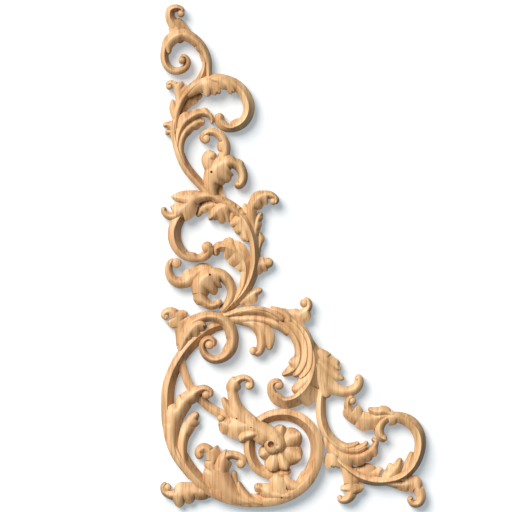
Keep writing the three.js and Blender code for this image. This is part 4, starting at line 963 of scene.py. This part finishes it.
def folded_faces(bm):
    """Faces that lie back to back on the same corners, a fold with no wood in it."""
    alike = {}
    for face in bm.faces:
        alike.setdefault(frozenset(face.verts), []).append(face)
    return [face for faces in alike.values() if len(faces) > 1 for face in faces]


def linked(data, name):
    """A mesh, a light or a camera as an object of the scene."""
    item = bpy.data.objects.new(name, data)
    bpy.context.scene.collection.objects.link(item)
    return item


def bare_material(name):
    """A new material without a node, and its node tree."""
    material = bpy.data.materials.new(name)
    material.use_nodes = True
    material.node_tree.nodes.clear()
    return material, material.node_tree


def node_of(tree, kind, **inputs):
    """A new shader node with its inputs set. An underscore stands for a space in an input's name."""
    node = tree.nodes.new("ShaderNode" + kind)
    for name, value in inputs.items():
        node.inputs[name.replace("_", " ")].default_value = value
    return node


# The beech's noises: how fine across the grain, how fine along it against that, how much detail, and a shift
# that keeps them apart
BANDS = (120, 0.06, 3, 3.1)
PATCHES = (28, 0.3, 2, 7.7)
PORES = (620, 0.035, 2, 1.3)
INTO_BOARD = 0.35  # how fine they are into the board, against across it
PORE_COLOUR = (0.7, 0.62, 0.54)


def beech(look):
    """Pale beech: fine upright pores, slow streaks of darker and of rosier wood, and a silky sheen."""
    wood, tree = bare_material("beech")
    link = tree.links.new
    output = node_of(tree, "OutputMaterial")
    shader = node_of(tree, "BsdfPrincipled", Roughness=look.roughness, Specular_IOR_Level=0.35)
    link(shader.outputs[0], output.inputs[0])
    place = node_of(tree, "TexCoord")

    def streaks(scale, along, detail, shift):
        """Noise drawn out along the grain, which runs up the board."""
        fine = (scale, scale * INTO_BOARD, scale * along)
        turn = node_of(tree, "Mapping", Scale=fine, Location=(shift, shift, shift))
        noise = node_of(tree, "TexNoise", Scale=1, Detail=detail, Roughness=0.6)
        link(place.outputs["Object"], turn.inputs["Vector"])
        link(turn.outputs[0], noise.inputs["Vector"])
        return noise.outputs["Fac"]

    def ramp(source, stops):
        node = node_of(tree, "ValToRGB")
        elements = node.color_ramp.elements
        while len(elements) > 1:
            elements.remove(elements[-1])
        for i, (spot, colour) in enumerate(stops):
            element = elements[0] if i == 0 else elements.new(spot)
            element.position = spot
            element.color = (*colour, 1)
        link(source, node.inputs[0])
        return node.outputs[0]

    def blend(kind, factor, under, over):
        node = tree.nodes.new("ShaderNodeMix")
        node.data_type = "RGBA"
        node.blend_type = kind
        node.inputs["Factor"].default_value = factor
        link(under, node.inputs["A"])
        link(over, node.inputs["B"])
        return node.outputs["Result"]

    bands = ramp(streaks(*BANDS), ((0.34, look.dark), (0.5, look.middle), (0.66, look.light)))
    rosy = ramp(streaks(*PATCHES), ((0.42, look.middle), (0.7, look.rosy)))
    pores = streaks(*PORES)
    colour = blend("MIX", 0.35, bands, rosy)
    colour = blend("MULTIPLY", look.pores, colour, ramp(pores, ((0.36, PORE_COLOUR), (0.5, (1, 1, 1)))))
    link(colour, shader.inputs["Base Color"])
    bump = node_of(tree, "Bump", Strength=0.12, Distance=0.0002)
    link(pores, bump.inputs["Height"])
    link(bump.outputs[0], shader.inputs["Normal"])
    return wood


def wall_paint(look):
    """White paint that glows a little, and can't be seen from behind the wall."""
    paint, tree = bare_material("wall_paint")
    output = node_of(tree, "OutputMaterial")
    matt = node_of(tree, "BsdfDiffuse", Color=(*look.wall, 1))
    glow = node_of(tree, "Emission", Color=(*look.sky, 1), Strength=look.glow)
    front, clear = node_of(tree, "AddShader"), node_of(tree, "BsdfTransparent")
    side, either = node_of(tree, "NewGeometry"), node_of(tree, "MixShader")
    for source, target in (
        (matt.outputs[0], front.inputs[0]),
        (glow.outputs[0], front.inputs[1]),
        (side.outputs["Backfacing"], either.inputs[0]),
        (front.outputs[0], either.inputs[1]),
        (clear.outputs[0], either.inputs[2]),
        (either.outputs[0], output.inputs[0]),
    ):
        tree.links.new(source, target)
    return paint


def length_of(name, says, value, least=0):
    return FloatProperty(name=name, description=says, default=value, min=least, unit="LENGTH")


def angle_of(name, says, degrees):
    return FloatProperty(name=name, description=says, default=math.radians(degrees), subtype="ANGLE")


def amount_of(name, says, value, **limits):
    return FloatProperty(name=name, description=says, default=value, min=0, **limits)


def colour_of(name, says, value):
    return FloatVectorProperty(name=name, description=says, default=value, min=0, max=1, size=3,
                               subtype="COLOR")


class OnlaySizes(PropertyGroup):
    relief: length_of("Relief", "Flat back to the highest ridge", RELIEF, 0.005)
    margin: length_of("Margin", "Wood left outside every line of the sheet", 0.0003)
    tip_width: length_of("Tip width", "Narrowest width of a leaf tip or a stem's end", 0.0008)
    flute: length_of("Flute depth", "Depth of the hollows between two lobes", 0.0008)
    drill_depth: length_of("Drill depth", "Bottom of a drilled eye, over the back", 0.009)
    saw_allowance: length_of("Saw allowance", "Wood sawn off behind the back", 0.003)
    stride: length_of("Stride", "Longest step between two cuts along a stem", 0.0026, 0.0005)
    turn: angle_of("Turn", "Largest turn of a stem between two cuts", 7)
    crease: angle_of("Crease", "Angle over which an edge stays sharp", 30)


class OnlayWood(PropertyGroup):
    light: colour_of("Light", "Palest wood", (0.78, 0.53, 0.29))
    middle: colour_of("Middle", "Most of the wood", (0.61, 0.375, 0.185))
    dark: colour_of("Dark", "Darker streaks", (0.45, 0.25, 0.11))
    rosy: colour_of("Rosy", "Rosier patches", (0.63, 0.34, 0.185))
    pores: amount_of("Pores", "How dark the pores are", 0.85, max=1, subtype="FACTOR")
    roughness: amount_of("Roughness", "Roughness of the sanded wood", 0.42, max=1, subtype="FACTOR")


class OnlayStage(PropertyGroup):
    wall: colour_of("Wall", "Colour of the wall", (0.57, 0.57, 0.57))
    sky: colour_of("Fill", "Colour of the soft light from all round", (0.82, 0.93, 1.0))
    fill: amount_of("Fill strength", "Strength of the soft light", 0.24)
    glow: amount_of("Wall's glow", "Light of the wall itself, which keeps its shadows pale", 0.34)
    key: amount_of("Main light", "Strength of the light from the upper left", 4.9)
    key_size: angle_of("Main light's spread", "How softly its shadows end", 38)
    gap: length_of("Gap", "Space between the back and the wall", 0.0005)
    distance: length_of("Camera distance", "Camera to the wall", 6, 1)


LIGHT_WAY = (0.58, 1, -0.68)  # the way the main light shines: to the right, in and down
LIGHT_COLOUR = (1, 0.975, 0.94)
WALL_HALF = 3  # half the wall's side, in metres
SENSOR = 36  # the camera's, in millimetres


class ONLAY_OT_carve(Operator):
    """Carves the onlay from its stems, scrolls and leaves, and saws its back flat"""
    bl_idname = "onlay.carve"
    bl_label = "Carve the onlay"

    def execute(self, context):
        sizes = context.scene.onlay_sizes
        shapes = [shape for group in GROUPS for shape in group()]
        solids = [(carved_eye if "eye" in shape else carved_stem)(shape, sizes) for shape in shapes]
        joined = linked(cut_mesh(solids[0], solids[1:], "UNION", "joined"), "joined")
        away = [sawn_off(sizes), *(drilled_eye(spot, sizes) for spot in DRILLED_EYES)]
        mesh = cut_mesh(joined, away, "DIFFERENCE", "carved_wood")
        bm = bmesh.new()
        bm.from_mesh(mesh)
        bmesh.ops.triangulate(bm, faces=[face for face in bm.faces if len(face.verts) > 4])
        bmesh.ops.dissolve_degenerate(bm, edges=bm.edges, dist=1e-6)
        bmesh.ops.delete(bm, geom=folded_faces(bm), context="FACES")
        for vert in bm.verts:
            vert.co.y = min(vert.co.y, BACK)
        bm.to_mesh(mesh)
        bm.free()
        mesh.shade_smooth()
        mesh.set_sharp_from_angle(angle=sizes.crease)
        wood = linked(mesh, "carved_wood")
        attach(wood, "root")
        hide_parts(NODE)
        return {"FINISHED"}


class ONLAY_OT_finish(Operator):
    """Gives the carving its beech finish"""
    bl_idname = "onlay.finish"
    bl_label = "Finish the wood"

    def execute(self, context):
        wood = bpy.data.objects["carved_wood"]
        wood.data.materials.clear()
        wood.data.materials.append(beech(context.scene.onlay_wood))
        return {"FINISHED"}


class ONLAY_OT_stage(Operator):
    """Sets up the white wall, the soft light from the upper left and the camera straight in front"""
    bl_idname = "onlay.stage"
    bl_label = "Set the stage"

    def execute(self, context):
        scene, look = context.scene, context.scene.onlay_stage
        bm = bmesh.new()
        bmesh.ops.create_grid(bm, x_segments=1, y_segments=1, size=WALL_HALF)
        bmesh.ops.rotate(bm, verts=bm.verts, cent=(0, 0, 0), matrix=Matrix.Rotation(math.pi / 2, 3, "X"))
        bmesh.ops.translate(bm, verts=bm.verts, vec=(0, BACK + look.gap, 0))
        mesh = bpy.data.meshes.new("wall")
        bm.to_mesh(mesh)
        bm.free()
        wall = linked(mesh, "wall")
        wall.visible_shadow = wall.visible_diffuse = wall.visible_glossy = False
        mesh.materials.append(wall_paint(look))

        world = bpy.data.worlds.new("room")
        world.use_nodes = True
        room = world.node_tree.nodes["Background"]
        room.inputs["Color"].default_value = (*look.sky, 1)
        room.inputs["Strength"].default_value = look.fill
        scene.world = world

        sun = bpy.data.lights.new("main_light", "SUN")
        sun.energy = look.key
        sun.angle = look.key_size
        sun.color = LIGHT_COLOUR
        lamp = linked(sun, "main_light")
        lamp.rotation_euler = Vector(LIGHT_WAY).to_track_quat("-Z", "Y").to_euler()

        lens = bpy.data.cameras.new("camera")
        lens.sensor_width = SENSOR
        lens.lens = SENSOR * look.distance / (SHEET_WIDTH * UNIT)
        lens.clip_end = look.distance * 4
        camera = linked(lens, "camera")
        camera.location = to_frame(Vector(SHEET_MIDDLE), look.distance)
        camera.rotation_euler = (math.pi / 2, 0, 0)
        scene.camera = camera
        scene.view_settings.view_transform = "Standard"
        return {"FINISHED"}


class ONLAY_PT_panel(Panel):
    """Sizes, wood and stage of the corner onlay"""
    bl_idname = "ONLAY_PT_panel"
    bl_label = "Corner onlay"
    bl_space_type = "VIEW_3D"
    bl_region_type = "UI"
    bl_category = "Onlay"

    def draw(self, context):
        scene = context.scene
        for title, group, action in (
            ("Carving", scene.onlay_sizes, ONLAY_OT_carve),
            ("Wood", scene.onlay_wood, ONLAY_OT_finish),
            ("Stage", scene.onlay_stage, ONLAY_OT_stage),
        ):
            box = self.layout.box()
            box.label(text=title)
            for key in group.__annotations__:
                box.prop(group, key)
            box.operator(action.bl_idname)


CLASSES = (OnlaySizes, OnlayWood, OnlayStage, ONLAY_OT_carve, ONLAY_OT_finish, ONLAY_OT_stage, ONLAY_PT_panel)


def register():
    for item in CLASSES:
        bpy.utils.register_class(item)
    bpy.types.Scene.onlay_sizes = PointerProperty(type=OnlaySizes)
    bpy.types.Scene.onlay_wood = PointerProperty(type=OnlayWood)
    bpy.types.Scene.onlay_stage = PointerProperty(type=OnlayStage)


def unregister():
    del bpy.types.Scene.onlay_sizes
    del bpy.types.Scene.onlay_wood
    del bpy.types.Scene.onlay_stage
    for item in reversed(CLASSES):
        bpy.utils.unregister_class(item)


def main():
    register()
    bpy.ops.onlay.carve()
    bpy.ops.onlay.finish()
    bpy.ops.onlay.stage()


if __name__ == "__main__":
    main()
